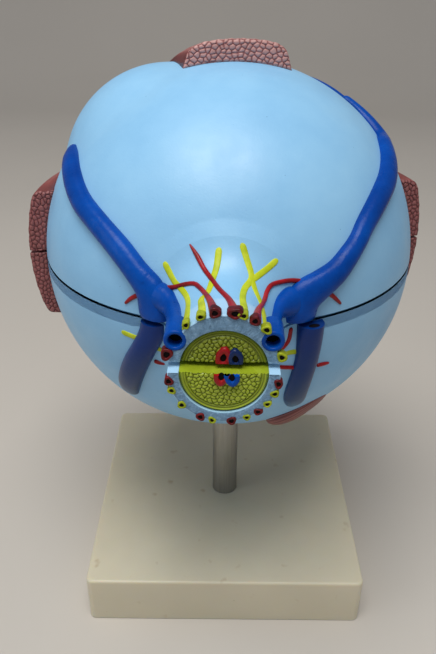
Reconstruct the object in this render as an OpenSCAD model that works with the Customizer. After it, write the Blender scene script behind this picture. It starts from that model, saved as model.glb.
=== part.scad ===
// Eye anatomy model: a six-times life-size right eyeball on a rod and a square base.
// Millimetres, +Z up. The origin is the middle of the base's underside.
// The globe's own frame has its centre at the origin, the cornea along +Y and the nasal side at -X.
// The nerve's frame lies at the height of the seam, with the nerve along -Y. Points on the back of the
// globe are [azimuth, elevation] in degrees about its origin.

/* [Stand] */
// Side of the square base
base_w = 120; // [100:1:180]
// Thickness of the base
base_t = 24; // [20:1:36]
// Radius of the base's upright corners
base_corner_r = 3; // [1:0.5:8]
// Bevel along the base's top edges
base_bevel = 1; // [0.4:0.1:2]
// Thickness of the non-slip sheet let into the underside
pad_t = 1.5; // [1:0.1:3]
// Plain border round the non-slip sheet
pad_border = 6; // [4:0.5:20]
// Diameter of the support rod
rod_d = 12; // [8:0.5:16]
// Height of the globe's lowest point above the base
rod_clear_h = 58.5; // [40:0.5:100]
// Depth that the rod's full diameter stands in the base
rod_seat_h = 8; // [5:0.5:12]
// Diameter of the rod's threaded end
thread_d = 8; // [5:0.5:8]
// Across flats of the nut
nut_af = 13; // [10:0.5:17]
// Height of the nut
nut_h = 5; // [3:0.5:6]
// Diameter of the washer
washer_d = 20; // [16:0.5:26]
// Thickness of the washer
washer_t = 1.6; // [1:0.1:2.5]

/* [Globe] */
// Outer radius of the sclera
globe_r = 72; // [66:0.5:84]
// Wall of the sclera
sclera_wall = 6; // [5:0.25:8]
// Turn of the gaze to the nasal side, seen from above
eye_yaw = 7; // [-20:1:20]
// Height of the seam above the globe's centre
seam_z = 3.2; // [0:0.1:5]
// Gap between the two halves of the globe
seam_gap = 1; // [0.5:0.1:1.6]
// Bevel on the rim of the lower half
rim_bevel = 2.2; // [0.5:0.1:2.4]
// Radius of the boss under the globe that holds the rod
boss_r = 11; // [9:0.5:13]
// Drop of the boss below the globe
boss_drop = 8; // [5:0.5:14]
// Wall left between the rod and the globe's inside
socket_roof = 1.5; // [1:0.1:3]
// Height of the tendon's bulge over the globe
bulge_h = 8; // [3:0.5:10]
// Radius of curvature of the tendon's bulge
bulge_r = 45; // [35:1:55]
// Diameter of the steel locating pins
pin_d = 2.4; // [1.6:0.1:2.6]
// Depth of a locating pin in each half
pin_depth = 6; // [4:0.5:9]
// Collar width round a locating pin
pin_collar = 0.5; // [0.3:0.1:0.7]

/* [Front] */
// Radius of the cornea's rim
cornea_rim_r = 36.2; // [34:0.2:40]
// Radius of curvature of the cornea's dome
cornea_bow = 46; // [44:0.5:52]
// Wall of the cornea
cornea_t = 2.4; // [1.6:0.1:3]
// Depth of the cornea's seat behind the circle where its rim's radius meets the globe
cornea_sink = 1.74; // [1:0.02:3]
// Radius of the round opening behind the cornea
front_hole_r = 29.5; // [27:0.5:31]
// Diameter of the cornea's pegs
peg_d = 2.4; // [1.6:0.1:3]
// Length of the cornea's pegs
peg_len = 2.5; // [1.5:0.1:3]

/* [Inside] */
// Wall of the choroid and retina cups
choroid_wall = 3; // [2:0.25:4]
// Clearance between nested pieces
nest_gap = 0.3; // [0.2:0.05:0.5]
// Distance of the iris's back behind the cornea's seat
iris_gap = 6.5; // [5.5:0.25:8]
// Thickness of the iris
iris_t = 3; // [1.5:0.25:3.5]
// Outer radius of the iris
iris_r = 31.2; // [29:0.2:31.6]
// Radius of the pupil
pupil_r = 10; // [6:0.5:14]
// Depth of the ciliary body behind the iris
ciliary_depth = 11.5; // [9:0.5:13]
// Radius of the lens
lens_r = 27; // [23:0.5:27]
// Radius of curvature of the lens's front
lens_front_bow = 60; // [50:1:80]
// Radius of curvature of the lens's back
lens_back_bow = 45; // [40:1:60]
// Thickness of the lens's edge
lens_edge_t = 3.6; // [2:0.2:4]
// Space between the lens and the iris
lens_space = 3; // [2:0.25:4]
// Wall of the hollow vitreous body
vitreous_wall = 2; // [1.5:0.25:3]

/* [Optic nerve] */
// Turn of the nerve from the back of the eye to the nasal side
nerve_az = -8; // [-15:1:0]
// Length of the upper stub beyond the globe's radius
stub_len_upper = 24.5; // [18:0.5:28]
// Length of the lower stub beyond the upper one
stub_extra = 3.5; // [0:0.5:6]
// Radius of the stub at its cut end
stub_end_r = 15.8; // [15:0.1:19]
// Radius of the stub's flare on the globe
stub_root_r = 25.5; // [23:0.5:29]
// Radius of the bundle of nerve fibres
fibre_r = 12.6; // [11:0.1:12.8]
// Depth of the bundle below the stub's cut end
fibre_recess = 0.8; // [0.3:0.1:1.5]
// Depth of the bundle in the stub
fibre_depth = 16; // [8:0.5:17]
// Diameter of the central artery and vein
central_d = 3.4; // [2.4:0.1:3.6]
// Bore of every cut vessel
lumen_d = 1.5; // [0.8:0.1:2]

/* [Muscles] */
// Distance of the muscles' cut ends in front of the globe's centre
muscle_cut_y = -5; // [-8:0.5:6]
// Distance of the muscles' tendons in front of the globe's centre
muscle_tendon_y = 36; // [30:0.5:42]
// Width of the upper and lower straight muscles at their cut ends
muscle_w = 39; // [34:1:46]
// Width of the side straight muscles at their cut ends
muscle_side_w = 52; // [44:1:56]
// Width of a straight muscle at its tendon
tendon_w = 52; // [40:1:56]
// Thickness of a straight muscle at its cut end
muscle_t = 6.5; // [5:0.5:9]
// Radius of curvature of a muscle's outer face
muscle_bow = 90; // [80:1:110]

/* [Vessels] */
// Width of a large vein, as a share of its drawn width
vein_share = 1; // [0.8:0.05:1.1]
// Outer diameter of a vein's cut end beside the nerve
vein_end_d = 6.4; // [5:0.1:7]
// Half width of an artery on the globe
artery_hw = 0.8; // [0.6:0.05:1.1]
// Half width of a ciliary nerve on the globe
nerve_hw = 1; // [0.7:0.05:1.2]
// Height of a ciliary nerve over the globe
nerve_rise = 0.6; // [0.4:0.05:1]
// Depth of the sclera's window, down to the choroid
window_depth = 1.7; // [1:0.1:3]

/* [Hidden] */

fine = 96;
small = 48;
eps = 0.01;
fit = 0.05;
far_spare = 60;
far = 2 * globe_r + far_spare;

sclera_blue = [0.62, 0.80, 0.93];
vein_blue = [0.05, 0.25, 0.65];
vein_grey = [0.25, 0.34, 0.52];
artery_red = [0.68, 0.13, 0.15];
nerve_yellow = [0.80, 0.86, 0.15];
fibre_green = [0.60, 0.68, 0.15];
muscle_red = [0.58, 0.28, 0.28];
choroid_brown = [0.45, 0.22, 0.18];
cream = [0.90, 0.87, 0.75];
steel = [0.66, 0.66, 0.66];
foam_grey = [0.3, 0.3, 0.3];
ciliary_brown = [0.35, 0.2, 0.15];
iris_brown = [0.4, 0.26, 0.14];
clear = [0.85, 0.93, 0.95, 0.5];
lens_clear = [0.92, 0.94, 0.9, 0.6];

eye_z = base_t + rod_clear_h + globe_r;
rod_seat_z = base_t - rod_seat_h;
rod_top_z = eye_z - globe_r + sclera_wall - socket_roof;
thread_spare = 1;
thread_end_z = pad_t + thread_spare;
nut_z = thread_end_z + thread_spare;
washer_z = nut_z + nut_h;
web_z = washer_z + washer_t;
washer_slack = 2;

sclera_in_r = globe_r - sclera_wall;
stub_len_lower = stub_len_upper + stub_extra;
choroid_r = sclera_in_r - nest_gap;
choroid_in_r = choroid_r - choroid_wall;
vitreous_r = choroid_in_r - nest_gap;
cup_gap = nest_gap / 2;
pin_inset = 2;
pin_ring_r = sclera_in_r + pin_inset;
pin_angles = [38, 142, 218, 322];
collar_slack = 0.5;
boss_flare = 3;
boss_top_r = boss_r + boss_flare;
rim_margin = 1.5;
seam_line = [0, 0, seam_z];

rebate_r = cornea_rim_r + nest_gap;
cornea_seat_y = sqrt(pow(globe_r, 2) - pow(cornea_rim_r, 2)) - cornea_sink;
cornea_lift = 0.1;
cornea_back_y = cornea_seat_y + cornea_lift;
cornea_front_y = cornea_back_y + cornea_t;
cornea_brim = 3.2;
dome_r = cornea_rim_r - cornea_brim;
dome_y = cornea_front_y - sqrt(pow(cornea_bow, 2) - pow(dome_r, 2));
peg_inset = 1;
peg_ring_r = cornea_rim_r - peg_d / 2 - peg_inset;
peg_angles = [-35, -90, -145];

iris_back_y = cornea_seat_y - iris_gap;
ciliary_back_y = iris_back_y - ciliary_depth;
ciliary_margin = 1;
ciliary_r = lens_r + ciliary_margin;
lens_apex_y = iris_back_y - lens_space;
lens_front_c = lens_apex_y - lens_front_bow;
lens_rim_y = lens_front_c + sqrt(pow(lens_front_bow, 2) - pow(lens_r, 2)) - lens_edge_t;
lens_back_c = lens_rim_y + sqrt(pow(lens_back_bow, 2) - pow(lens_r, 2));
vitreous_front_y = ciliary_back_y - nest_gap;

// The stub's outline runs from its flare, which starts inside the globe's wall, to its cut end.
stub_base_y = sclera_in_r - sclera_wall / 2;
stub_root_y = sqrt(pow(globe_r, 2) - pow(stub_root_r + seam_z, 2));
stub_end_y = globe_r + stub_len_upper;
stub_steps = 12;
flare_power = 5.5;
flare_spread = 1.5;
function stub_r(t) = stub_end_r + (stub_root_r - stub_end_r) * pow(1 - t, flare_power);
stub_line = [for (i = [0 : stub_steps]) let (t = pow(i / stub_steps, flare_spread))
    [stub_r(t), stub_root_y + (stub_end_y - stub_root_y) * t]];
function stub_angle(i) = atan2(stub_line[i].x, stub_line[i].y);
stub_table = concat([for (i = [stub_steps : -1 : 0]) [stub_angle(i), norm(stub_line[i])]],
    [[stub_angle(0) + eps, 0]]);

// Centre of the tendon's bulge, about the globe's centre
bulge_az = -97;
bulge_el = 53.5;
bulge_centre = toward(bulge_az, bulge_el) * (globe_r + bulge_h - bulge_r);

// Distance at which a ray from the origin leaves a ball, or 0
function ball_reach(d, centre, r) = let (along = d * centre)
    let (q = pow(along, 2) - centre * centre + pow(r, 2))
    q > 0 ? along + sqrt(q) : 0;

// Radius of the outer surface in a direction about the origin of the nerve's frame
function skin_r(d) = max(lookup(acos(-d.y), stub_table), ball_reach(d, -seam_line, globe_r),
    ball_reach(d, bulge_centre - seam_line, bulge_r));
function window_r(d) = globe_r - window_depth;
function toward(az, el) = [cos(el) * sin(az), -cos(el) * cos(az), sin(el)];
function unit(v) = v / norm(v);
function spline(a, b, c, d, t) =
    (2 * b + (c - a) * t + (2 * a - 5 * b + 4 * c - d) * pow(t, 2) + (3 * b - a - 3 * c + d) * pow(t, 3)) / 2;
function at(path, i) = path[max(0, min(len(path) - 1, i))];
function smooth(path, n) = concat(
    [for (i = [0 : len(path) - 2]) for (j = [0 : n - 1])
        spline(at(path, i - 1), path[i], path[i + 1], at(path, i + 2), j / n)],
    [path[len(path) - 1]]);

// A vessel lies on the surface with a flat underside and a rounded top.
lie_gap = 0.3;
arc_steps = 6;
function slice(w, h) = concat(
    [for (i = [0 : arc_steps]) let (a = 180 * i / arc_steps) [w * cos(a), h * sin(a)]],
    [[-w / 2, 0], [0, 0], [w / 2, 0]]);
slice_n = arc_steps + 4;
function seat_r(d, in_window) = in_window ? window_r(d) : skin_r(d);
function clip_z(p, low, high) = [p.x, p.y, max(low, min(high, p.z))];
function wrap(d, side, q, in_window) = let (a = q.x / globe_r * 180 / PI, e = unit(d * cos(a) + side * sin(a)))
    e * (seat_r(e, in_window) + lie_gap + q.y);

// Each point of a path is [azimuth, elevation, half width, height].
module vessel(path, low = -far, high = far, in_window = false, n = 2) {
    fine_path = smooth(path, n);
    count = len(fine_path);
    dirs = [for (p = fine_path) toward(p[0], p[1])];
    points = [for (i = [0 : count - 1])
        let (t = dirs[min(count - 1, i + 1)] - dirs[max(0, i - 1)], side = unit(cross(dirs[i], t)))
        for (q = slice(fine_path[i][2], fine_path[i][3])) clip_z(wrap(dirs[i], side, q, in_window), low, high)];
    sides = [for (i = [0 : count - 2]) for (j = [0 : slice_n - 1])
        let (a = i * slice_n + j, b = i * slice_n + (j + 1) % slice_n)
        for (f = [[a, b + slice_n, b], [a, a + slice_n, b + slice_n]]) f];
    first = [for (j = [1 : slice_n - 2]) [0, j, j + 1]];
    last_at = (count - 1) * slice_n;
    last = [for (j = [1 : slice_n - 2]) [last_at, last_at + j + 1, last_at + j]];
    polyhedron(points = points, faces = concat(sides, first, last));
}

// The routes and the window were drawn for a globe of this radius.
drawn_globe_r = 72;
drawn_share = globe_r / drawn_globe_r;

// A thin vessel's points may name a share of its half width.
function thin(route, hw, rise) = [for (p = route) let (share = len(p) > 2 ? p[2] : 1)
    [p[0], p[1], hw * share, rise * share]];
function broad(route) = [for (p = route)
    [p[0], p[1], p[2] * vein_share * drawn_share, p[3] * vein_share * drawn_share]];

// Routes on the back of the globe
vein_left_upper_route = [[-96, 38, 2.4, 2], [-82, 36, 3.4, 3], [-67, 32, 3.9, 3.6], [-58, 28.8, 4, 3.8],
    [-48.3, 24.8, 4, 3.8], [-37.6, 20.8, 3.9, 3.8], [-29.4, 16.5, 4, 4], [-23.4, 11.8, 4.2, 4.2],
    [-19.2, 7.8, 5, 4.4], [-17.6, 4.5, 6.2, 4.4], [-17, 0.9, 6, 4]];
vein_left_lower_route = [[-18.2, -0.9, 4.4, 4.2], [-19.6, -5, 4.3, 4.2], [-22, -9.5, 4.2, 4.2],
    [-25.3, -15.3, 4.4, 4.2], [-28.6, -21.3, 4.5, 4], [-32, -27.5, 4.3, 3.6], [-35, -33.5, 3.2, 2.2]];
vein_right_upper_route = [[87, 37.4, 2.6, 2.4], [80, 36, 3.4, 3.2], [70, 32.8, 3.9, 3.6], [61, 29.4, 4, 3.8],
    [53.3, 26.7, 4, 3.8], [46.9, 23.9, 3.8, 3.8], [41.7, 20.9, 3.6, 3.6], [37.8, 17.6, 3.6, 3.6],
    [33.7, 14.5, 3.8, 3.8], [29.3, 11.2, 4.2, 4], [24.8, 8.6, 5, 4.4], [21.6, 5, 6.2, 4.4],
    [20.4, 0.9, 5.6, 4]];
vein_right_lower_route = [[22, -0.9, 4.2, 4.2], [22.2, -6, 4.1, 4.2], [22.3, -12, 4.1, 4.2],
    [22, -18, 4.2, 4.2], [22.1, -25, 4.3, 3.8], [23.3, -30, 4.1, 3], [25.2, -34, 3, 2]];
arteries_upper_routes = [
    [[-1.7, 10.4], [-2.7, 10.8], [-4.2, 11.4], [-5.8, 12.3], [-7.6, 12.6], [-10, 11.8], [-14.4, 10.4]],
    [[-24.8, 5.1], [-27.8, 3.2, 0.8]],
    [[2, 10.3], [0.4, 11.6], [-1.5, 12.9], [-3.5, 14.3], [-5.6, 16], [-7.6, 18.2], [-9.8, 21.4, 0.5]],
    [[5.9, 8.9], [7.3, 8.9], [8.6, 9.6], [9.6, 10.9], [11.2, 11.9], [13.6, 12.1], [18.6, 11.6]],
    [[29.4, 5.5], [32.2, 3.2, 0.8]]
];
arteries_lower_routes = [
    [[16.4, -2.4], [16, -5], [14.6, -6.6]],
    [[14.8, -13.4], [17.4, -14]],
    [[27, -15.6], [30.3, -16.2, 0.8]],
    [[-18.8, -13.5], [-16.6, -13.7, 0.8]]
];
nerves_upper_routes = [
    [[-16, 16, 0.8], [-13.9, 13]],
    [[-10.7, 9.4], [-9.4, 8.2], [-8.6, 7.1]],
    [[-1.8, 21.5, 0.7], [-2.3, 16.8]],
    [[4.2, 21.8, 0.7], [5, 17.8], [6, 14], [4.5, 12.4], [3.7, 11.4]],
    [[13, 17, 0.8], [10.7, 15.4], [8.8, 14.5]]
];
nerves_lower_routes = [
    [[-28.8, -6.2, 0.9], [-25.9, -6.6]],
    [[-17.2, -9], [-15.4, -9.5, 0.8]],
    [[14.4, -9.4, 0.9], [17.4, -9.2]]
];
inferior_oblique_route = [[51, -17, 5, 0.8], [48, -26, 6, 1.2], [44, -34, 7, 2], [38, -41.5, 7.6, 3],
    [30.5, -48, 7.6, 3.6], [22, -53, 7, 3.6]];

// Routes in the window, about the globe's centre
window_vein_routes = [
    [[84, 37, 3, 2.6], [89, 43, 3, 2.8], [93.5, 50, 2.8, 2.8], [98.5, 57.5, 2.4, 2.6], [104, 64.5, 1.6, 1.8]],
    [[93.5, 41, 1.8, 1.6], [100, 39, 1.7, 1.5], [108, 35.5, 1.4, 1.3], [117, 32.5, 1, 1]],
    [[100, 51.5, 1.8, 1.6], [107, 50, 1.7, 1.5], [117, 47, 1.4, 1.3], [129, 43, 1, 1]]
];
window_artery_route = [[95.5, 46.2, 1.2, 1.2], [102.5, 45, 1.1, 1.1], [113, 41.5, 0.9, 0.9],
    [125, 37, 0.7, 0.7]];
window_nerve_route = [[103, 57.5, 1.2, 1], [110, 55.5, 1.1, 1], [120, 52, 0.9, 0.8], [131, 48, 0.7, 0.7]];

// The vessels end just short of the seam.
seam_margin = 0.1;
upper_low = seam_gap / 2 + seam_margin;
lower_high = -seam_gap / 2 - seam_margin;

// Cut ends of the veins beside the nerve, as angles about its axis
vein_end_left = 145;
vein_end_right = 33;
vein_end_out = 0.8;
vein_end_len = 7;
vein_end_rise = 0.3;
vein_end_bore = 2 * lumen_d;
vein_end_bore_depth = 4;

// Cut ends of the ciliary vessels and nerves round the stub's rim, as angles about its axis
artery_end_d = 2.4;
nerve_end_d = 2;
ring_end_len = 4;
ring_end_rise = 0.3;
ring_bore_depth = 2;
artery_ends_upper = [62, 81, 98, 164];
nerve_ends_upper = [14, 51, 71.5, 111, 125];
artery_ends_lower = [187, 245, 279, 310, 352];
nerve_ends_lower = [200, 220, 258, 296, 324, 338];

// Places of the central vessels in each half, across and up from the nerve's axis
artery_upper = [-0.2, 3.5];
vein_upper = [3.5, 3.5];
artery_lower = [-1.4, -2.5];
vein_lower = [2.3, -2.5];
central_len = 12;
central_rise = 0.5;
central_bore_depth = 3;

// The bundle of fibres has a raised ring round its cut end.
fibre_ring_w = 1.6;
fibre_ring_drop = 0.3;

// Centre of the arc of a given radius through two points of the profile [forward, up]
function arc_centre(p, q, r) = let (m = (p + q) / 2, h = norm(q - p) / 2, u = unit(q - p))
    m + sqrt(pow(r, 2) - pow(h, 2)) * [u.y, -u.x];
muscle_off = 2;
muscle_out_r = globe_r + muscle_t;
muscle_back = [muscle_cut_y, sqrt(pow(muscle_out_r, 2) - pow(muscle_cut_y, 2))];
muscle_front = [muscle_tendon_y, sqrt(pow(globe_r, 2) - pow(muscle_tendon_y, 2))];
muscle_centre = arc_centre(muscle_back, muscle_front, muscle_bow);

// Outline of the window, across and up from the middle of the upper temporal quarter
window_az = 106;
window_el = 47;
window_share = 0.995;
window_outline = [[-1, 28], [-6.5, 21], [-12, 13.5], [-18, 4], [-22.5, -4], [-25, -9.5], [-23.5, -14],
    [-18, -16.5], [0, -19.5], [14, -21], [21, -18.5], [25.5, -11], [27, 0], [25.5, 9], [21, 15], [12, 20.5],
    [3, 27]];

module at_globe() {
    translate([0, 0, eye_z]) rotate([0, 0, eye_yaw]) children();
}

module at_seam() {
    translate(seam_line) children();
}

module toward_nerve() {
    at_seam() rotate([0, 0, nerve_az]) children();
}

module at_nerve() {
    at_globe() toward_nerve() children();
}

// Everything above or below the current height, with the given gap to it
module above(gap) {
    translate([-far / 2, -far / 2, gap]) cube([far, far, far]);
}

module below(gap) {
    translate([-far / 2, -far / 2, -far - gap]) cube([far, far, far]);
}

// Turns a piece drawn along +Z to lie along +Y or -Y
module forward() {
    rotate([-90, 0, 0]) children();
}

module backward() {
    rotate([90, 0, 0]) children();
}

module rounded_square(w, r) {
    union() {
        square([w - 2 * r, w], center = true);
        square([w, w - 2 * r], center = true);
        for (x = [-1, 1]) for (y = [-1, 1])
            translate([x * (w / 2 - r), y * (w / 2 - r)]) circle(r, $fn = small);
    }
}

module bevelled_bar() {
    b = base_bevel;
    h = base_w / 2;
    rotate([90, 0, 0]) linear_extrude(base_w + 2, center = true)
        polygon([[-h, 0], [h, 0], [h, base_t - b], [h - b, base_t], [b - h, base_t], [-h, base_t - b]]);
}

module base_block() {
    color(cream) difference() {
        intersection() {
            linear_extrude(base_t) rounded_square(base_w, base_corner_r);
            bevelled_bar();
            rotate([0, 0, 90]) bevelled_bar();
        }
        translate([0, 0, -1]) linear_extrude(pad_t + 1) square(base_w - 2 * pad_border, center = true);
        cylinder(d = washer_d + washer_slack, h = web_z, $fn = fine);
        cylinder(d = thread_d + 2 * fit, h = base_t, $fn = fine);
        translate([0, 0, rod_seat_z]) cylinder(d = rod_d + 2 * fit, h = base_t, $fn = fine);
    }
}

module base_pad() {
    color(foam_grey) linear_extrude(pad_t) square(base_w - 2 * pad_border, center = true);
}

module support_rod() {
    color(steel) union() {
        translate([0, 0, thread_end_z]) cylinder(d = thread_d, h = rod_seat_z - thread_end_z + 1, $fn = fine);
        translate([0, 0, rod_seat_z]) cylinder(d = rod_d, h = rod_top_z - rod_seat_z, $fn = fine);
    }
}

module rod_washer() {
    color(steel) translate([0, 0, washer_z]) difference() {
        cylinder(d = washer_d, h = washer_t, $fn = fine);
        translate([0, 0, -1]) cylinder(d = thread_d + 2 * fit, h = washer_t + 2, $fn = fine);
    }
}

module rod_nut() {
    color(steel) translate([0, 0, nut_z]) difference() {
        cylinder(d = nut_af / cos(30), h = nut_h, $fn = 6);
        translate([0, 0, -1]) cylinder(d = thread_d + 2 * fit, h = nut_h + 2, $fn = fine);
    }
}

// The stub of the optic nerve with its flare, about the nerve's axis
module stub(len) {
    end_y = globe_r + len;
    backward() rotate_extrude($fn = fine)
        polygon(concat([[0, stub_base_y]], [[stub_root_r, stub_base_y]], stub_line,
            end_y > stub_end_y + eps ? [[stub_end_r, end_y]] : [], [[0, end_y]]));
}

// Bore in the stub for the bundle of fibres
module fibre_bore(len) {
    end_y = globe_r + len;
    backward() translate([0, 0, end_y - fibre_depth])
        cylinder(r = fibre_r + fit, h = fibre_depth + 1, $fn = fine);
}

module cornea_seat() {
    forward() translate([0, 0, cornea_seat_y]) cylinder(r = rebate_r, h = globe_r, $fn = fine);
    forward() cylinder(r = front_hole_r, h = globe_r, $fn = fine);
}

module pin_holes() {
    at_seam() for (a = pin_angles) rotate([0, 0, a]) translate([pin_ring_r, 0, -pin_depth - seam_gap / 2])
        cylinder(d = pin_d + 2 * fit, h = 2 * pin_depth + seam_gap, $fn = small);
}

module locating_pins() {
    color(steel) at_globe() at_seam() for (a = pin_angles) rotate([0, 0, a]) translate([pin_ring_r, 0, 0])
    union() {
        translate([0, 0, -pin_depth - seam_gap / 2])
            cylinder(d = pin_d, h = 2 * pin_depth + seam_gap - collar_slack, $fn = small);
        translate([0, 0, -seam_gap / 2]) cylinder(d = pin_d + 2 * pin_collar, h = seam_gap, $fn = small);
    }
}

// A ring that bevels the outer rim of the lower half, up to both sides of the stub
module rim_cutter() {
    top = globe_r - rim_bevel;
    stub_half = asin(stub_root_r / globe_r) - rim_margin;
    at_seam() translate([0, 0, -seam_gap / 2]) rotate([0, 0, nerve_az - 90 + stub_half])
        rotate_extrude(angle = 360 - 2 * stub_half, $fn = fine)
            polygon([[top, 0], [top, 1], [globe_r + 2, 1], [globe_r + 2, -rim_bevel - 2]]);
}

module boss() {
    translate([0, 0, -globe_r - boss_drop])
        cylinder(r1 = boss_r, r2 = boss_top_r, h = boss_drop + sclera_wall, $fn = fine);
}

module sclera_lower() {
    color(sclera_blue) at_globe() difference() {
        intersection() {
            union() {
                sphere(globe_r, $fn = fine);
                toward_nerve() stub(stub_len_lower);
                boss();
            }
            at_seam() below(seam_gap / 2);
        }
        rim_cutter();
        sphere(sclera_in_r, $fn = fine);
        toward_nerve() fibre_bore(stub_len_lower);
        cornea_seat();
        pin_holes();
        for (a = peg_angles) forward() rotate([0, 0, -a]) translate([peg_ring_r, 0, 0])
            cylinder(d = peg_d + 2 * fit, h = globe_r, $fn = small);
        translate([0, 0, -globe_r - boss_drop - 1])
            cylinder(d = rod_d + 2 * fit, h = rod_top_z - eye_z + globe_r + boss_drop + 1, $fn = fine);
    }
}

// The bulge over the tendon of the upper oblique muscle
module tendon_bulge() {
    rotate([0, 0, nerve_az]) translate(bulge_centre) sphere(bulge_r, $fn = fine);
}

// A straight prism through the window, shrunk by a share
module window_prism(share) {
    rotate([0, 0, window_az]) rotate([-window_el, 0, 0]) backward() linear_extrude(far)
        scale([share * drawn_share, share * drawn_share]) polygon(window_outline);
}

// The veins' cut ends lie in notches in the stub's rim.
module vein_end_place(angle) {
    backward() rotate([0, 0, angle])
        translate([stub_end_r + vein_end_out, 0, stub_end_y - vein_end_len]) children();
}

module sclera_upper() {
    color(sclera_blue) at_globe() difference() {
        intersection() {
            union() {
                sphere(globe_r, $fn = fine);
                tendon_bulge();
                toward_nerve() stub(stub_len_upper);
            }
            at_seam() above(seam_gap / 2);
        }
        sphere(sclera_in_r, $fn = fine);
        toward_nerve() fibre_bore(stub_len_upper);
        for (a = [vein_end_left, vein_end_right]) toward_nerve() vein_end_place(a)
            cylinder(d = vein_end_d + 2 * fit, h = vein_end_len + 1, $fn = small);
        cornea_seat();
        pin_holes();
        window_prism(1);
    }
}

// The fibres of the optic nerve, with a raised ring round the cut end
module fibres(len) {
    end_y = globe_r + len;
    backward() rotate_extrude($fn = fine)
        polygon([[0, end_y - fibre_depth], [fibre_r, end_y - fibre_depth], [fibre_r, end_y - fibre_ring_drop],
            [fibre_r - fibre_ring_w, end_y - fibre_ring_drop], [fibre_r - fibre_ring_w, end_y - fibre_recess],
            [0, end_y - fibre_recess]]);
}

module central_at(place, len) {
    backward() translate([place.x, place.y, globe_r + len - fibre_recess - central_len]) children();
}

module central_vessel(place, len) {
    central_at(place, len) difference() {
        cylinder(d = central_d, h = central_len + central_rise, $fn = small);
        translate([0, 0, central_len - central_bore_depth])
            cylinder(d = lumen_d, h = 2 * central_bore_depth, $fn = small);
    }
}

module nerve_fibres(len, artery, vein) {
    difference() {
        fibres(len);
        for (place = [artery, vein]) central_at(place, len)
            cylinder(d = central_d + 2 * fit, h = 2 * central_len, $fn = small);
    }
}

module nerve_fibres_upper() {
    color(fibre_green) at_nerve() intersection() {
        nerve_fibres(stub_len_upper, artery_upper, vein_upper);
        above(seam_gap / 2);
    }
}

module nerve_fibres_lower() {
    color(fibre_green) at_nerve() intersection() {
        nerve_fibres(stub_len_lower, artery_lower, vein_lower);
        below(seam_gap / 2);
    }
}

module central_artery_upper() {
    color(artery_red) at_nerve() central_vessel(artery_upper, stub_len_upper);
}

module central_vein_upper() {
    color(vein_blue) at_nerve() central_vessel(vein_upper, stub_len_upper);
}

module central_artery_lower() {
    color(artery_red) at_nerve() central_vessel(artery_lower, stub_len_lower);
}

module central_vein_lower() {
    color(vein_blue) at_nerve() central_vessel(vein_lower, stub_len_lower);
}

module vein_end(angle) {
    vein_end_place(angle) difference() {
        cylinder(d = vein_end_d, h = vein_end_len + vein_end_rise, $fn = small);
        translate([0, 0, vein_end_len - vein_end_bore_depth])
            cylinder(d = vein_end_bore, h = 2 * vein_end_bore_depth, $fn = small);
    }
}

module vein_left_upper() {
    color(vein_blue) at_nerve() {
        vessel(broad(vein_left_upper_route), low = upper_low);
        vein_end(vein_end_left);
    }
}

module vein_right_upper() {
    color(vein_blue) at_nerve() {
        vessel(broad(vein_right_upper_route), low = upper_low);
        vein_end(vein_end_right);
    }
}

module vein_left_lower() {
    color(vein_grey) at_nerve() vessel(broad(vein_left_lower_route), high = lower_high);
}

module vein_right_lower() {
    color(vein_grey) at_nerve() vessel(broad(vein_right_lower_route), high = lower_high);
}

// Short open tubes along the stub's rim, one at each angle
module ring_ends(angles, d, len) {
    for (a = angles) backward() rotate([0, 0, a])
        translate([stub_end_r + lie_gap + d / 2, 0, globe_r + len - ring_end_len]) difference() {
            cylinder(d = d, h = ring_end_len + ring_end_rise, $fn = small);
            translate([0, 0, ring_end_len - ring_bore_depth])
                cylinder(d = min(lumen_d, d / 2), h = 2 * ring_bore_depth, $fn = small);
        }
}

module ciliary_arteries_upper() {
    color(artery_red) at_nerve() {
        for (r = arteries_upper_routes) vessel(thin(r, artery_hw, artery_hw), low = upper_low);
        ring_ends(artery_ends_upper, artery_end_d, stub_len_upper);
    }
}

module ciliary_arteries_lower() {
    color(artery_red) at_nerve() {
        for (r = arteries_lower_routes) vessel(thin(r, artery_hw, artery_hw), high = lower_high);
        ring_ends(artery_ends_lower, artery_end_d, stub_len_lower);
    }
}

module ciliary_nerves_upper() {
    color(nerve_yellow) at_nerve() {
        for (r = nerves_upper_routes) vessel(thin(r, nerve_hw, nerve_rise), low = upper_low);
        ring_ends(nerve_ends_upper, nerve_end_d, stub_len_upper);
    }
}

module ciliary_nerves_lower() {
    color(nerve_yellow) at_nerve() {
        for (r = nerves_lower_routes) vessel(thin(r, nerve_hw, nerve_rise), high = lower_high);
        ring_ends(nerve_ends_lower, nerve_end_d, stub_len_lower);
    }
}

module inferior_oblique() {
    color(muscle_red) at_nerve() vessel(broad(inferior_oblique_route));
}

// A straight muscle on the top of the globe, thick at its cut end and thin at its tendon, shifted by off
module rectus(w, off = 0, cut_y = muscle_cut_y) {
    difference() {
        intersection() {
            translate([off, 0, 0]) linear_extrude(2 * globe_r) polygon([[-w / 2, cut_y], [w / 2, cut_y],
                [tendon_w / 2, muscle_tendon_y], [-tendon_w / 2, muscle_tendon_y]]);
            translate([off, muscle_centre.x, muscle_centre.y]) sphere(muscle_bow, $fn = fine);
        }
        sphere(globe_r, $fn = fine);
    }
}

module superior_rectus() {
    color(muscle_red) at_globe() difference() {
        rectus(muscle_w, muscle_off);
        tendon_bulge();
    }
}

module inferior_rectus() {
    cut_y = max(muscle_cut_y, boss_top_r + 1);
    color(muscle_red) at_globe() rotate([0, 180, 0]) rectus(muscle_w, cut_y = cut_y);
}

module medial_rectus_upper() {
    color(muscle_red) at_globe() difference() {
        intersection() {
            rotate([0, -90, 0]) rectus(muscle_side_w, seam_z / 2);
            at_seam() above(seam_gap / 2);
        }
        tendon_bulge();
    }
}

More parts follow.
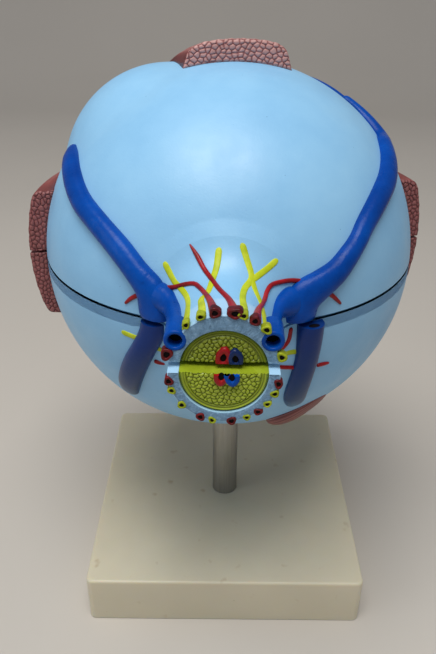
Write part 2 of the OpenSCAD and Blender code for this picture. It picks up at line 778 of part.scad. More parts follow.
module medial_rectus_lower() {
    color(muscle_red) at_globe() intersection() {
        rotate([0, -90, 0]) rectus(muscle_side_w, seam_z / 2);
        at_seam() below(seam_gap / 2);
    }
}

module lateral_rectus_upper() {
    color(muscle_red) at_globe() intersection() {
        rotate([0, 90, 0]) rectus(muscle_side_w, -seam_z / 2);
        at_seam() above(seam_gap / 2);
    }
}

module lateral_rectus_lower() {
    color(muscle_red) at_globe() intersection() {
        rotate([0, 90, 0]) rectus(muscle_side_w, -seam_z / 2);
        at_seam() below(seam_gap / 2);
    }
}

module choroid_window() {
    color(choroid_brown) at_globe() difference() {
        intersection() {
            sphere(globe_r - window_depth, $fn = fine);
            window_prism(window_share);
        }
        sphere(sclera_in_r, $fn = fine);
    }
}

module window_veins() {
    color(vein_blue) at_globe() for (r = window_vein_routes) vessel(broad(r), in_window = true);
}

module window_artery() {
    color(artery_red) at_globe() vessel(broad(window_artery_route), in_window = true);
}

module window_nerve() {
    color(nerve_yellow) at_globe() vessel(broad(window_nerve_route), in_window = true);
}

// The cup of the choroid and retina, open in front for the iris
module choroid_cup() {
    difference() {
        sphere(choroid_r, $fn = fine);
        sphere(choroid_in_r, $fn = fine);
        forward() translate([0, 0, iris_back_y]) cylinder(r = globe_r, h = globe_r, $fn = fine);
    }
}

module ciliary_ring() {
    difference() {
        intersection() {
            sphere(choroid_in_r, $fn = fine);
            forward() translate([0, 0, ciliary_back_y]) cylinder(r = globe_r, h = ciliary_depth, $fn = fine);
        }
        forward() cylinder(r = ciliary_r, h = globe_r, $fn = fine);
    }
}

module iris_ring() {
    forward() translate([0, 0, iris_back_y]) difference() {
        cylinder(r = iris_r, h = iris_t, $fn = fine);
        translate([0, 0, -1]) cylinder(r = pupil_r, h = iris_t + 2, $fn = fine);
    }
}

module choroid_lower() {
    color(choroid_brown) at_globe() intersection() {
        choroid_cup();
        below(cup_gap);
    }
}

module choroid_upper() {
    color(choroid_brown) at_globe() intersection() {
        choroid_cup();
        above(cup_gap);
    }
}

module ciliary_body_lower() {
    color(ciliary_brown) at_globe() intersection() {
        ciliary_ring();
        below(cup_gap);
    }
}

module ciliary_body_upper() {
    color(ciliary_brown) at_globe() intersection() {
        ciliary_ring();
        above(cup_gap);
    }
}

module iris_lower() {
    color(iris_brown) at_globe() intersection() {
        iris_ring();
        below(cup_gap);
    }
}

module iris_upper() {
    color(iris_brown) at_globe() intersection() {
        iris_ring();
        above(cup_gap);
    }
}

// The hollow the lens leaves in the vitreous body, grown by a margin
module lens_dish(grow) {
    intersection() {
        forward() translate([0, 0, -globe_r]) cylinder(r = lens_r + grow, h = 2 * globe_r, $fn = fine);
        translate([0, lens_back_c, 0]) sphere(lens_back_bow + grow, $fn = fine);
    }
}

module vitreous_solid(wall) {
    difference() {
        intersection() {
            sphere(vitreous_r - wall, $fn = fine);
            forward() translate([0, 0, -globe_r])
                cylinder(r = globe_r, h = globe_r + vitreous_front_y - wall, $fn = fine);
        }
        lens_dish(nest_gap + wall);
    }
}

module vitreous_front() {
    color(clear) at_globe() intersection() {
        difference() {
            vitreous_solid(0);
            vitreous_solid(vitreous_wall);
        }
        translate([-far / 2, 0, -far / 2]) cube(far);
    }
}

module vitreous_rear() {
    color(clear) at_globe() difference() {
        sphere(vitreous_r, $fn = fine);
        sphere(vitreous_r - vitreous_wall, $fn = fine);
        translate([-far / 2, 0, -far / 2]) cube(far);
    }
}

module lens() {
    color(lens_clear) at_globe() intersection() {
        forward() cylinder(r = lens_r, h = globe_r, $fn = fine);
        translate([0, lens_front_c, 0]) sphere(lens_front_bow, $fn = fine);
        translate([0, lens_back_c, 0]) sphere(lens_back_bow, $fn = fine);
    }
}

module cornea() {
    color(clear) at_globe() difference() {
        union() {
            intersection() {
                translate([0, dome_y, 0]) sphere(cornea_bow, $fn = fine);
                forward() translate([0, 0, cornea_back_y]) cylinder(r = cornea_rim_r, h = globe_r, $fn = fine);
            }
            forward() translate([0, 0, cornea_back_y]) cylinder(r = cornea_rim_r, h = cornea_t, $fn = fine);
            for (a = peg_angles) forward() rotate([0, 0, -a])
                translate([peg_ring_r, 0, cornea_back_y - peg_len])
                    cylinder(d = peg_d, h = peg_len + 1, $fn = small);
        }
        translate([0, dome_y, 0]) sphere(cornea_bow - cornea_t, $fn = fine);
    }
}

base_block();
base_pad();
support_rod();
rod_washer();
rod_nut();
sclera_lower();
locating_pins();
nerve_fibres_lower();
central_artery_lower();
central_vein_lower();
vein_left_lower();
vein_right_lower();
ciliary_arteries_lower();
ciliary_nerves_lower();
inferior_rectus();
medial_rectus_lower();
lateral_rectus_lower();
inferior_oblique();
sclera_upper();
nerve_fibres_upper();
central_artery_upper();
central_vein_upper();
vein_left_upper();
vein_right_upper();
ciliary_arteries_upper();
ciliary_nerves_upper();
superior_rectus();
medial_rectus_upper();
lateral_rectus_upper();
choroid_window();
window_veins();
window_artery();
window_nerve();
choroid_lower();
ciliary_body_lower();
iris_lower();
choroid_upper();
ciliary_body_upper();
iris_upper();
vitreous_front();
vitreous_rear();
lens();
cornea();
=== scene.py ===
"""Dresses the eye anatomy model, a six-times life-size eyeball on a rod and a square base."""
import math
from contextlib import contextmanager

import bmesh
import bpy
import numpy as np
from mathutils import Matrix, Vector
from mathutils.kdtree import KDTree


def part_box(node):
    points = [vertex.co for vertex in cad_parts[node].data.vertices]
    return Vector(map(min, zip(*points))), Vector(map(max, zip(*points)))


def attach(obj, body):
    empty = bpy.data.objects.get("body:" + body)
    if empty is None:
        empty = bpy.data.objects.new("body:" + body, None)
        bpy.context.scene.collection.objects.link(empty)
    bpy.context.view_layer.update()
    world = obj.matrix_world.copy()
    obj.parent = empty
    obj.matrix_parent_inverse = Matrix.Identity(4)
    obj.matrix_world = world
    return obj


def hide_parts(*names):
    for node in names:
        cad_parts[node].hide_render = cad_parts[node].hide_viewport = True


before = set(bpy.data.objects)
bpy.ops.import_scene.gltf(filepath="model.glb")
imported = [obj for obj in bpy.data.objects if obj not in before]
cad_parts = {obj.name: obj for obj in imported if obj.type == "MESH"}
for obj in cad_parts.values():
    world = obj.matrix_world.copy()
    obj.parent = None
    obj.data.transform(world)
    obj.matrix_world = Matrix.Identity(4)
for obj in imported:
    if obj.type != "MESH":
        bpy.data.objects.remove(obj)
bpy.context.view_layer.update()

# ---------------------------------------------------------------- sizes, in millimetres and degrees
MM = 0.001
GLOBE_R = 72.0
SCLERA_IN_R = 66.0
SEAM_GAP = 1.0
SEAM_Z = 3.2
SEAM_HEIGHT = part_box("sclera_upper")[0].z / MM - SEAM_GAP / 2
EYE_Z = SEAM_HEIGHT - SEAM_Z
SEAM_LINE = np.array([0.0, 0.0, SEAM_Z])
EYE_TURN = 7.0
NERVE_TURN = -8.0
BULGE_AZ, BULGE_EL = -101.0, 51.5
BULGE_R, BULGE_H = 41.0, 5.9
STUB_END_R = 15.8
STUB_ROOT_R = 25.5
STUB_TOP_STRETCH = 1.1
STUB_END_UPPER = GLOBE_R + 24.5
STUB_END_LOWER = GLOBE_R + 28.0
FLARE_POWER = 5.5
FIBRE_R = 12.6
FIBRE_RECESS = 0.8
FIBRE_DEPTH = 16.0
NERVE_UPPER_EDGE, NERVE_LOWER_EDGE = 2.2, -0.6
NERVE_CUT_DEPTH = 13.0
RIM_BEVEL_IN, RIM_BEVEL_DOWN = 1.1, 3.8
# Where the painted highlight on the stub's flare starts, and how softly it fades in.
FLARE_HIGHLIGHT_Y, FLARE_HIGHLIGHT_SOFT = 87.5, 1.6
CORNEA_SEAT_R, FRONT_OPENING_R = 36.5, 29.5
PIN_HOLE_R, PIN_CIRCLE_R, PIN_ANGLES = 1.25, 68.0, (38, 142, 218, 322)
BASE_W = 120.0
BASE_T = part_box("base_block")[1].z / MM
PAD_HALF, NUT_RECESS_R, STUD_HOLE_R, ROD_HOLE_R = 54.0, 11.0, 4.05, 6.05
BIG = 400.0


# ---------------------------------------------------------------- vectors and frames
def toward(az, el):
    """Unit vectors about the nerve's axis, from azimuths and elevations in degrees."""
    az, el = np.radians(az), np.radians(el)
    return np.stack([np.cos(el) * np.sin(az), -np.cos(el) * np.cos(az), np.sin(el)], -1)


def unit(v):
    return v / np.maximum(np.linalg.norm(v, axis=-1, keepdims=True), 1e-9)


def signed_power(v, power):
    return np.sign(v) * np.abs(v) ** power


def full_turn(count):
    """Evenly spaced angles all round, without the last, which would be the first again."""
    return np.linspace(0, 2 * math.pi, count, endpoint=False)


def turn(points, degrees, axis=2):
    """Points turned about the X, Y or Z axis, which are 0, 1 and 2."""
    c, s = math.cos(math.radians(degrees)), math.sin(math.radians(degrees))
    first, second = (axis + 1) % 3, (axis + 2) % 3
    out = np.array(points, float)
    a, b = points[..., first], points[..., second]
    out[..., first], out[..., second] = c * a - s * b, s * a + c * b
    return out


def from_eye(points):
    """Points of the eye's own frame, put where the eye is."""
    return turn(points, EYE_TURN) + [0, 0, EYE_Z]


def from_nerve(points):
    """Points of the frame at the seam's height whose -Y axis is the nerve's, put where the eye is."""
    return turn(points, EYE_TURN + NERVE_TURN) + [0, 0, SEAM_HEIGHT]


# ---------------------------------------------------------------- the globe's outer skin
def smooth_max(a, b, k):
    h = np.clip(0.5 + 0.5 * (a - b) / k, 0, 1)
    return b + (a - b) * h + k * h * (1 - h)


def stub_outline():
    """Angles from the nerve's axis and distances from its frame's origin, along the flare and the stub."""
    t = np.linspace(0, 1, 60) ** 1.5
    root_y = math.sqrt(GLOBE_R**2 - (STUB_ROOT_R + SEAM_Z) ** 2)
    y = np.append(root_y + (STUB_END_UPPER - root_y) * t, STUB_END_LOWER + 2)
    r = np.append(STUB_END_R + (STUB_ROOT_R - STUB_END_R) * (1 - t) ** FLARE_POWER, STUB_END_R)
    angle, reach = np.arctan2(r, y)[::-1], np.hypot(r, y)[::-1]
    return np.append(angle, angle[-1] + 0.06), np.append(reach, reach[-1] - 5)


STUB_ANGLE, STUB_REACH = stub_outline()
BULGE_CENTRE = toward(BULGE_AZ, BULGE_EL) * (GLOBE_R + BULGE_H - BULGE_R)


def stretched(points, share=STUB_TOP_STRETCH):
    """Points about the nerve's axis, drawn out upward as the stub's upper half is."""
    z = points[..., 2]
    return np.stack([points[..., 0], points[..., 1], z * np.where(z > 0, share, 1)], -1)


def ball_reach(dirs, centre, radius):
    along = dirs @ centre
    q = along**2 - centre @ centre + radius**2
    return np.where(q > 0, along + np.sqrt(np.maximum(q, 0)), 0)


def skin_r(dirs):
    """Distance of the outer skin from the origin of the nerve's frame, in each direction."""
    round_dirs = stretched(dirs, 1 / STUB_TOP_STRETCH)
    size = np.linalg.norm(round_dirs, axis=-1)
    angle = np.arccos(np.clip(-round_dirs[..., 1] / size, -1, 1))
    stub = np.interp(angle, STUB_ANGLE, STUB_REACH, right=0) / size
    globe = ball_reach(dirs, -SEAM_LINE, GLOBE_R)
    bulge = ball_reach(dirs, BULGE_CENTRE - SEAM_LINE, BULGE_R)
    return smooth_max(smooth_max(globe, stub, 1.6), bulge, 2.4)


def height_over(points, surface_r):
    r = np.linalg.norm(points, axis=-1)
    return r - surface_r(points / r[..., None])


def drop(points, surface_r=skin_r):
    """Moves points to the nearest place on a surface, and gives the surface's normals there."""
    p = np.array(points, float)
    step = 0.05
    for _ in range(6):
        grad = np.stack([
            (height_over(p + step * e, surface_r) - height_over(p - step * e, surface_r)) / (2 * step)
            for e in np.eye(3)], -1)
        h = height_over(p, surface_r)
        p = p - np.clip(h / np.maximum((grad**2).sum(-1), 0.2), -3, 3)[..., None] * grad
    return p, unit(grad)


# ---------------------------------------------------------------- meshes
def add_mesh(name, points, faces):
    """An object with a mesh, from points in metres."""
    mesh = bpy.data.meshes.new(name)
    mesh.from_pydata(np.asarray(points).tolist(), [], [list(map(int, f)) for f in faces])
    obj = bpy.data.objects.new(name, mesh)
    bpy.context.scene.collection.objects.link(obj)
    return obj


def add_piece(name, part, put, material, body, node=None, sharp=40):
    """One piece from a part in millimetres, put in place, riding on a body and standing for a node."""
    obj = add_mesh(name, put(part[0]) * MM, part[1])
    mesh = obj.data
    mesh.materials.append(material)
    mesh.validate()
    mesh.shade_smooth()
    mesh.set_sharp_from_angle(angle=math.radians(sharp))
    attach(obj, body)
    if node:
        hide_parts(node)
    return obj


@contextmanager
def edited(obj):
    """The mesh of a piece, open for edits that are written back after."""
    work = bmesh.new()
    work.from_mesh(obj.data)
    yield work
    work.to_mesh(obj.data)
    work.free()


def joined(parts):
    """Several (points, faces) in one."""
    points, faces, start = [], [], 0
    for p, f in parts:
        points.append(np.asarray(p, float))
        faces += [[i + start for i in face] for face in f]
        start += len(p)
    return np.concatenate(points), faces


def grid_faces(rows, cols, closed=False):
    """Quads of a grid whose points are listed row by row."""
    last = cols if closed else cols - 1
    return [[i * cols + j, i * cols + (j + 1) % cols, (i + 1) * cols + (j + 1) % cols, (i + 1) * cols + j]
            for i in range(rows - 1) for j in range(last)]


def stack(rings, tips=(None, None), inside_out=False):
    """A closed solid from a stack of rings of points. Each end is flat, or a fan about its tip."""
    rings = np.asarray(rings, float)
    rows, cols = rings.shape[:2]
    points, faces = rings.reshape(-1, 3), grid_faces(rows, cols, closed=True)
    ends = (list(range(cols))[::-1], list(range((rows - 1) * cols, rows * cols)))
    for tip, ring in zip(tips, ends):
        if tip is None:
            faces.append(ring)
        else:
            points = np.concatenate([points, [tip]])
            faces += [[len(points) - 1, a, b] for a, b in zip(ring, ring[1:] + ring[:1])]
    return points, [f[::-1] for f in faces] if inside_out else faces


def sheet(front, rear, inside_out=False):
    """A closed thin sheet between two grids of points."""
    rows, cols = front.shape[:2]
    grid, count = grid_faces(rows, cols), rows * cols
    last = count - cols
    border = list(range(cols)) + [i * cols + cols - 1 for i in range(1, rows)]
    border += list(range(count - 2, last - 1, -1)) + [i * cols for i in range(rows - 2, 0, -1)]
    faces = grid + [[i + count for i in f[::-1]] for f in grid]
    faces += [[b, a, a + count, b + count] for a, b in zip(border, border[1:] + border[:1])]
    points = np.concatenate([front.reshape(-1, 3), rear.reshape(-1, 3)])
    return points, [f[::-1] for f in faces] if inside_out else faces


def lathe(profile, count=96):
    """A closed solid turned about +Z from an outline of [radius, height] that starts and ends on the axis."""
    profile = np.asarray(profile, float)
    ring = full_turn(count)
    r, z = profile[1:-1, :1], profile[1:-1, 1:]
    rings = np.stack([r * np.cos(ring), r * np.sin(ring), np.repeat(z, count, 1)], -1)
    return stack(rings, ((0, 0, profile[0, 1]), (0, 0, profile[-1, 1])))


def rod(radius, low, high, count=96):
    return lathe([[0, low], [radius, low], [radius, high], [0, high]], count)


def ball(radius, count=160):
    a = np.linspace(-90, 90, count // 2 + 1)
    return lathe(np.stack([radius * np.cos(np.radians(a)), radius * np.sin(np.radians(a))], -1), count)


def cuboid(low, high):
    x0, y0, z0 = low
    x1, y1, z1 = high
    plan = ((x0, y0), (x1, y0), (x1, y1), (x0, y1))
    return stack([[[x, y, z] for x, y in plan] for z in (z0, z1)])


def half_space(edge, upper):
    """All that lies below a height or, for the lower half, all above the same depth."""
    if upper:
        return cuboid((-BIG, -BIG, -BIG), (BIG, BIG, edge))
    return cuboid((-BIG, -BIG, -edge), (BIG, BIG, BIG))


def moved(part, to=(0, 0, 0)):
    return part[0] + np.asarray(to, float), part[1]


def laid_back(part):
    """Turns a part drawn along +Z to lie along -Y."""
    return part[0][:, [0, 2, 1]] * [1, -1, 1], part[1]


def laid_forward(part):
    """Turns a part drawn along +Z to lie along +Y."""
    return part[0][:, [0, 2, 1]] * [1, 1, -1], part[1]


def turned(part, degrees, axis=2):
    return turn(part[0], degrees, axis), part[1]


def carved(part, *others, operation="DIFFERENCE"):
    """Points and faces of a part after the same boolean operation with each of the others."""
    obj = add_mesh("scratch", part[0] * MM, part[1])
    for other in others:
        tool = add_mesh("scratch_tool", other[0] * MM, other[1])
        cut = obj.modifiers.new("cut", "BOOLEAN")
        cut.operation, cut.solver, cut.object = operation, "MANIFOLD", tool
        graph = bpy.context.evaluated_depsgraph_get()
        mesh = bpy.data.meshes.new_from_object(obj.evaluated_get(graph))
        obj.modifiers.clear()
        obj.data = mesh
        bpy.data.objects.remove(tool)
    points = np.array([v.co for v in obj.data.vertices]) / MM
    faces = [list(f.vertices) for f in obj.data.polygons]
    bpy.data.objects.remove(obj)
    return points, faces


# ---------------------------------------------------------------- materials
def srgb(r, g, b):
    """A linear colour from one in 0 to 255 steps."""
    c = np.array([r, g, b]) / 255
    return (*np.where(c <= 0.04045, c / 12.92, ((c + 0.055) / 1.055) ** 2.4).tolist(), 1.0)


class Paint:
    """A node material with a few helpers, so that each material below reads as a short recipe."""

    def __init__(self, name, roughness=0.4, coat=0.0, specular=0.5):
        self.material = bpy.data.materials.new(name)
        self.material.use_nodes = True
        tree = self.material.node_tree
        self.nodes, self.links, self.shader = tree.nodes, tree.links, tree.nodes["Principled BSDF"]
        self.fill(self.shader, {"Roughness": roughness, "Coat Weight": coat, "Coat Roughness": 0.25,
                                "Specular IOR Level": specular})
        self.place = self.node("TexCoord", {}).outputs["Object"]

    def fill(self, node, inputs):
        """Links each named input of a node to a socket, or sets it to a value."""
        for key, value in inputs.items():
            if hasattr(value, "links"):
                self.links.new(value, node.inputs[key])
            else:
                node.inputs[key].default_value = value
        return node

    def node(self, kind, inputs):
        return self.fill(self.nodes.new(f"ShaderNode{kind}"), inputs)

    def noise(self, scale, detail=3, rough=0.5, stretch=None):
        """Noise whose features are about 1 / scale metres across, stretched by an optional vector."""
        place = self.place
        if stretch:
            place = self.node("Mapping", {"Vector": place, "Scale": stretch}).outputs["Vector"]
        values = {"Vector": place, "Scale": scale, "Detail": detail, "Roughness": rough}
        return self.node("TexNoise", values).outputs["Fac"]

    def cells(self, scale):
        return self.node("TexVoronoi", {"Vector": self.place, "Scale": scale}).outputs["Distance"]

    def attribute(self, name):
        node = self.node("Attribute", {})
        node.attribute_name = name
        return node.outputs["Fac"]

    def ramp(self, source, *stops):
        """Colours along a source, from pairs of a position and a colour in 0 to 255 steps."""
        node = self.node("ValToRGB", {"Fac": source})
        elements = node.color_ramp.elements
        for element, (position, colour) in zip(elements, (stops[0], stops[-1])):
            element.position, element.color = position, srgb(*colour)
        for position, colour in stops[1:-1]:
            elements.new(position).color = srgb(*colour)
        return node.outputs["Color"]

    def range(self, source, low, high, out_low, out_high):
        values = {"Value": source, "From Min": low, "From Max": high, "To Min": out_low, "To Max": out_high}
        return self.node("MapRange", values).outputs["Result"]

    def mix(self, factor, a, b, blend="MIX"):
        node = self.nodes.new("ShaderNodeMix")
        node.data_type, node.blend_type = "RGBA", blend
        return self.fill(node, {0: factor, 6: a, 7: b}).outputs[2]

    def blotched(self, share, tone, scale, dark, light=(255, 255, 255), start=0.3):
        """A share of soft blotches, multiplied into a colour."""
        blotch = self.ramp(self.noise(scale), (start, dark), (0.7, light))
        return self.mix(share, tone, blotch, "MULTIPLY")

    def coordinate(self, axis):
        return self.node("SeparateXYZ", {"Vector": self.place}).outputs[axis]

    def bump(self, source, distance, strength=1.0, after=None):
        """Adds relief in metres, on top of the relief of an earlier bump if that is given."""
        under = {"Normal": after} if after else {}
        node = self.node("Bump", {"Distance": distance, "Strength": strength, "Height": source, **under})
        self.fill(self.shader, {"Normal": node.outputs["Normal"]})
        return node.outputs["Normal"]

    def colour(self, source):
        self.fill(self.shader, {"Base Color": source})

    def roughness(self, low, high, noise):
        """Lets the gloss wander between two values with a noise."""
        self.fill(self.shader, {"Roughness": self.range(noise, 0.3, 0.7, low, high)})


def painted(name, base, dark, light, roughness=0.35, grain=0.00012, blotch=60, specular=0.5):
    """Brushed-on satin paint: soft blotches of colour, a fine orange-peel and slight changes of gloss."""
    paint = Paint(name, roughness, specular=specular)
    soft = paint.noise(blotch, 4, 0.6)
    paint.colour(paint.ramp(soft, (0.28, dark), (0.5, base), (0.74, light)))
    paint.roughness(roughness - 0.06, roughness + 0.08, paint.noise(220, 2))
    peel = paint.bump(paint.noise(900, 2), grain, 0.5)
    paint.bump(paint.noise(160, 2), grain * 3, 0.35, after=peel)
    return paint.material


def sclera_material():
    """Light blue satin paint with faint mottling, pinholes and a few dark specks, and a painted highlight
    that pales it toward the stub's end.
    """
    paint = Paint("sclera_paint", 0.42)
    blue = paint.ramp(paint.noise(28, 5, 0.6), (0.3, (131, 186, 226)), (0.5, (140, 194, 232)),
                      (0.72, (149, 201, 236)))
    specks = paint.ramp(paint.cells(260), (0.028, (120, 150, 170)), (0.05, (255, 255, 255)))
    sparse = paint.range(paint.noise(90, 1), 0.6, 0.64, 0, 1)
    spotted = paint.mix(sparse, blue, paint.mix(0.8, blue, specks, "MULTIPLY"))
    # Painted highlight: the paint is paled toward the nerve stub's end, where light falls on the flare.
    from_y, to_y = -FLARE_HIGHLIGHT_Y * MM, (FLARE_HIGHLIGHT_SOFT - FLARE_HIGHLIGHT_Y) * MM
    flare_highlight = paint.range(paint.coordinate("Y"), from_y, to_y, 0.55, 0)
    paint.colour(paint.mix(flare_highlight, spotted, srgb(182, 216, 242)))
    paint.roughness(0.36, 0.5, paint.noise(130, 3))
    pores = paint.range(paint.cells(420), 0.0, 0.16, 0, 1)
    fine = paint.bump(pores, 0.00008, 0.35)
    wavy = paint.bump(paint.noise(70, 3), 0.0006, 0.25, after=fine)
    paint.bump(paint.noise(1300, 2), 0.00006, 0.5, after=wavy)
    return paint.material


def sheath_material():
    """The rough grey-blue cut face of the nerve's sheath."""
    paint = Paint("sheath_paint", 0.62)
    paint.colour(paint.ramp(paint.noise(800, 4, 0.7), (0.3, (92, 128, 158)), (0.55, (120, 158, 190)),
                            (0.75, (148, 184, 212))))
    paint.bump(paint.noise(2200, 3, 0.7), 0.0002, 0.8)
    return paint.material


def cobble_material(name, groove_shade, top, painted_glint, roughness):
    """Paint with painted shade in the grooves between cobbles, lighter on their tops, and a painted glint on
    the highest.
    """
    paint = Paint(name, roughness)
    # Painted shade in the grooves and a painted glint on the crests, following the cobbles' relief.
    tone = paint.ramp(paint.attribute("cobble"), (0.05, groove_shade), (0.45, top), (0.95, painted_glint))
    paint.colour(paint.blotched(0.55, tone, 260, (205, 195, 190)))
    paint.bump(paint.noise(1500, 2), 0.0001, 0.5)
    return paint.material


def muscle_side_material():
    """Brown-red striated flesh, with paler streaks that run along the fibres."""
    paint = Paint("muscle_side_paint", 0.45)
    streak = paint.attribute("streak")
    tone = paint.ramp(streak, (0.1, (98, 42, 42)), (0.45, (132, 66, 64)), (0.9, (172, 114, 110)))
    paint.colour(paint.blotched(0.6, tone, 120, (205, 190, 190), (255, 250, 248)))
    paint.bump(paint.noise(1200, 2), 0.0001, 0.5)
    return paint.material


def base_material():
    """Cream cast plastic, slightly translucent, with a few dark specks and faint stains."""
    paint = Paint("cream_plastic", 0.38)
    cream = paint.ramp(paint.noise(22, 4), (0.3, (200, 192, 168)), (0.7, (210, 202, 178)))
    specks = paint.ramp(paint.cells(75), (0.02, (120, 96, 66)), (0.045, (255, 255, 255)))
    sparse = paint.range(paint.noise(40, 1), 0.58, 0.62, 0, 1)
    spotted = paint.mix(sparse, cream, paint.mix(0.75, cream, specks, "MULTIPLY"))
    stain = paint.ramp(paint.noise(130, 2), (0.68, (255, 255, 255)), (0.78, (205, 178, 140)))
    paint.colour(paint.mix(0.5, spotted, stain, "MULTIPLY"))
    paint.fill(paint.shader, {"Subsurface Weight": 0.35, "Subsurface Radius": (0.006, 0.004, 0.002),
                              "Subsurface Scale": 1.0})
    paint.roughness(0.32, 0.46, paint.noise(180, 3))
    paint.bump(paint.noise(300, 2), 0.0001, 0.3)
    return paint.material


def steel_material(name, tone, roughness):
    """Satin steel with fine drawn lines along the rod."""
    paint = Paint(name, roughness)
    paint.fill(paint.shader, {"Metallic": 1.0})
    lines = paint.noise(1500, 2, stretch=(1, 1, 0.04))
    paint.colour(paint.ramp(lines, (0.3, [t - 16 for t in tone]), (0.7, tone)))
    paint.roughness(roughness - 0.06, roughness + 0.1, lines)
    paint.bump(lines, 0.00003, 0.4)
    return paint.material


def foam_material():
    paint = Paint("foam_sheet", 0.9)
    paint.colour(paint.ramp(paint.cells(1200), (0.05, (28, 28, 30)), (0.5, (58, 58, 60))))
    paint.bump(paint.cells(1200), 0.0003, 0.7)
    return paint.material


def clear_material(name, tint):
    """Clear acrylic with very faint scuffs."""
    smooth = 0.04
    paint = Paint(name, smooth)
    scuffs = paint.range(paint.noise(90, 4), 0.45, 0.75, smooth, smooth + 0.08)
    paint.fill(paint.shader, {"Transmission Weight": 1.0, "IOR": 1.2, "Base Color": srgb(*tint),
                              "Roughness": scuffs})
    return paint.material


def vein_fade_and_shade_material(name, top, middle, bottom, z_from, z_to):
    """Vein paint that fades down the globe into grey-blue: a real fade into the sclera, with painted shade of
    the globe's lower half, as both its blue and its grey-blue are darker than the upper veins' and the
    sclera's paint.
    """
    paint = Paint(name, 0.32, specular=0.25)
    height = paint.range(paint.coordinate("Z"), z_from * MM, z_to * MM, 0, 1)
    wobble = paint.range(paint.noise(90, 3), 0.2, 0.8, -0.12, 0.12)
    wavy = paint.node("Math", {0: height, 1: wobble}).outputs[0]
    paint.colour(paint.ramp(wavy, (0.0, bottom), (0.3, middle), (1.0, top)))
    paint.bump(paint.noise(600, 2), 0.0001, 0.4)
    return paint.material


VEIN_BLUE = painted("vein_blue", (1, 66, 154), (0, 52, 130), (4, 80, 174), 0.3, grain=0.0002,
                    specular=0.14)
VEIN_DARK = painted("vein_dark_blue", (8, 34, 84), (5, 26, 68), (14, 46, 100), 0.3, specular=0.3)
ARTERY_RED = painted("artery_red", (146, 12, 20), (108, 6, 12), (170, 26, 32), 0.34, blotch=200,
                     specular=0.3)
NERVE_YELLOW = painted("nerve_yellow", (184, 198, 26), (160, 176, 18), (204, 214, 52), 0.45,
                       blotch=200, specular=0.3)
ARTERY_DARK = painted("artery_dark_red", (92, 8, 14), (58, 5, 9), (124, 16, 22), 0.4, blotch=500,
                      specular=0.3)
NERVE_DARK = painted("nerve_olive", (150, 162, 20), (112, 124, 14), (182, 192, 40), 0.45,
                     blotch=500, specular=0.3)
# Painted shade: near-black discs at the bottoms of bores and dips stand for the shade inside the cut vessels.
LUMEN_SHADE = painted("lumen_painted_shade", (14, 8, 9), (8, 6, 7), (26, 13, 14), 0.7, blotch=300,
                      specular=0.1)
# Each cobble paint's darkest colour is painted shade in the grooves and its lightest a painted glint on the
# crests.
FIBRE_UPPER = cobble_material("fibre_olive", (92, 104, 12), (122, 136, 22), (140, 154, 34), 0.42)
FIBRE_LOWER = cobble_material("fibre_green", (108, 122, 16), (146, 164, 30), (168, 186, 48), 0.42)
MUSCLE_CUT = cobble_material("muscle_cut", (140, 72, 72), (180, 122, 118), (206, 158, 152), 0.5)
MUSCLE_SIDE_CUT = cobble_material("muscle_dark_cut", (92, 38, 40), (128, 66, 66), (150, 90, 88), 0.55)
MUSCLE_SIDE = muscle_side_material()
SCLERA = sclera_material()
SHEATH = sheath_material()
CREAM = base_material()
STEEL = steel_material("satin_steel", (176, 174, 170), 0.34)
ZINC = steel_material("zinc_steel", (188, 186, 178), 0.28)
FOAM = foam_material()
CLEAR = clear_material("clear_acrylic", (236, 246, 248))
LENS_CLEAR = clear_material("lens_acrylic", (246, 246, 226))
CHOROID = painted("choroid_brown", (112, 74, 62), (88, 54, 48), (136, 98, 84), 0.45, blotch=110)


# ---------------------------------------------------------------- stand
def rounded_block(w, t, corner, edge):
    """A square block with round upright corners and softly rounded top and bottom edges."""
    arc = np.radians(np.linspace(0, 90, 8))
    h = w / 2 - corner
    corners = ((1, 1, 0), (-1, 1, math.pi / 2), (-1, -1, math.pi), (1, -1, 1.5 * math.pi))
    plan = np.concatenate([
        np.stack([sx * h + corner * np.cos(arc + a), sy * h + corner * np.sin(arc + a)], -1)
        for sx, sy, a in corners])
    bend = np.radians(np.linspace(0, 90, 6))
    rows = [(0.35, 0.0), (0.0, 0.35)]
    rows += [(edge * (1 - np.cos(b)), t - edge + edge * np.sin(b)) for b in bend]
    return stack([np.column_stack([plan * (1 - 2 * inset / w), np.full(len(plan), z)]) for inset, z in rows])


def make_stand():
    """The base, hollowed for the pad, the nut's recess, the stud and the rod; the rest shows as it is."""
    block = carved(rounded_block(BASE_W, BASE_T, 3.0, 1.1),
                   cuboid((-PAD_HALF, -PAD_HALF, -2), (PAD_HALF, PAD_HALF, 1.5)),
                   rod(NUT_RECESS_R, -2, 10.1), rod(STUD_HOLE_R, 5, 20), rod(ROD_HOLE_R, 16, 40))
    add_piece("base_body", block, np.asarray, CREAM, "stand", "base_block", sharp=30)
    dress(FOAM, "base_pad")
    dress(STEEL, "support_rod")
    dress(ZINC, "rod_washer", "rod_nut", "locating_pins")


def dress(material, *names):
    """Gives nodes that are shown as they are a better material."""
    for name in names:
        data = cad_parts[name].data
        if data.materials:
            data.materials[0] = material
        else:
            data.materials.append(material)


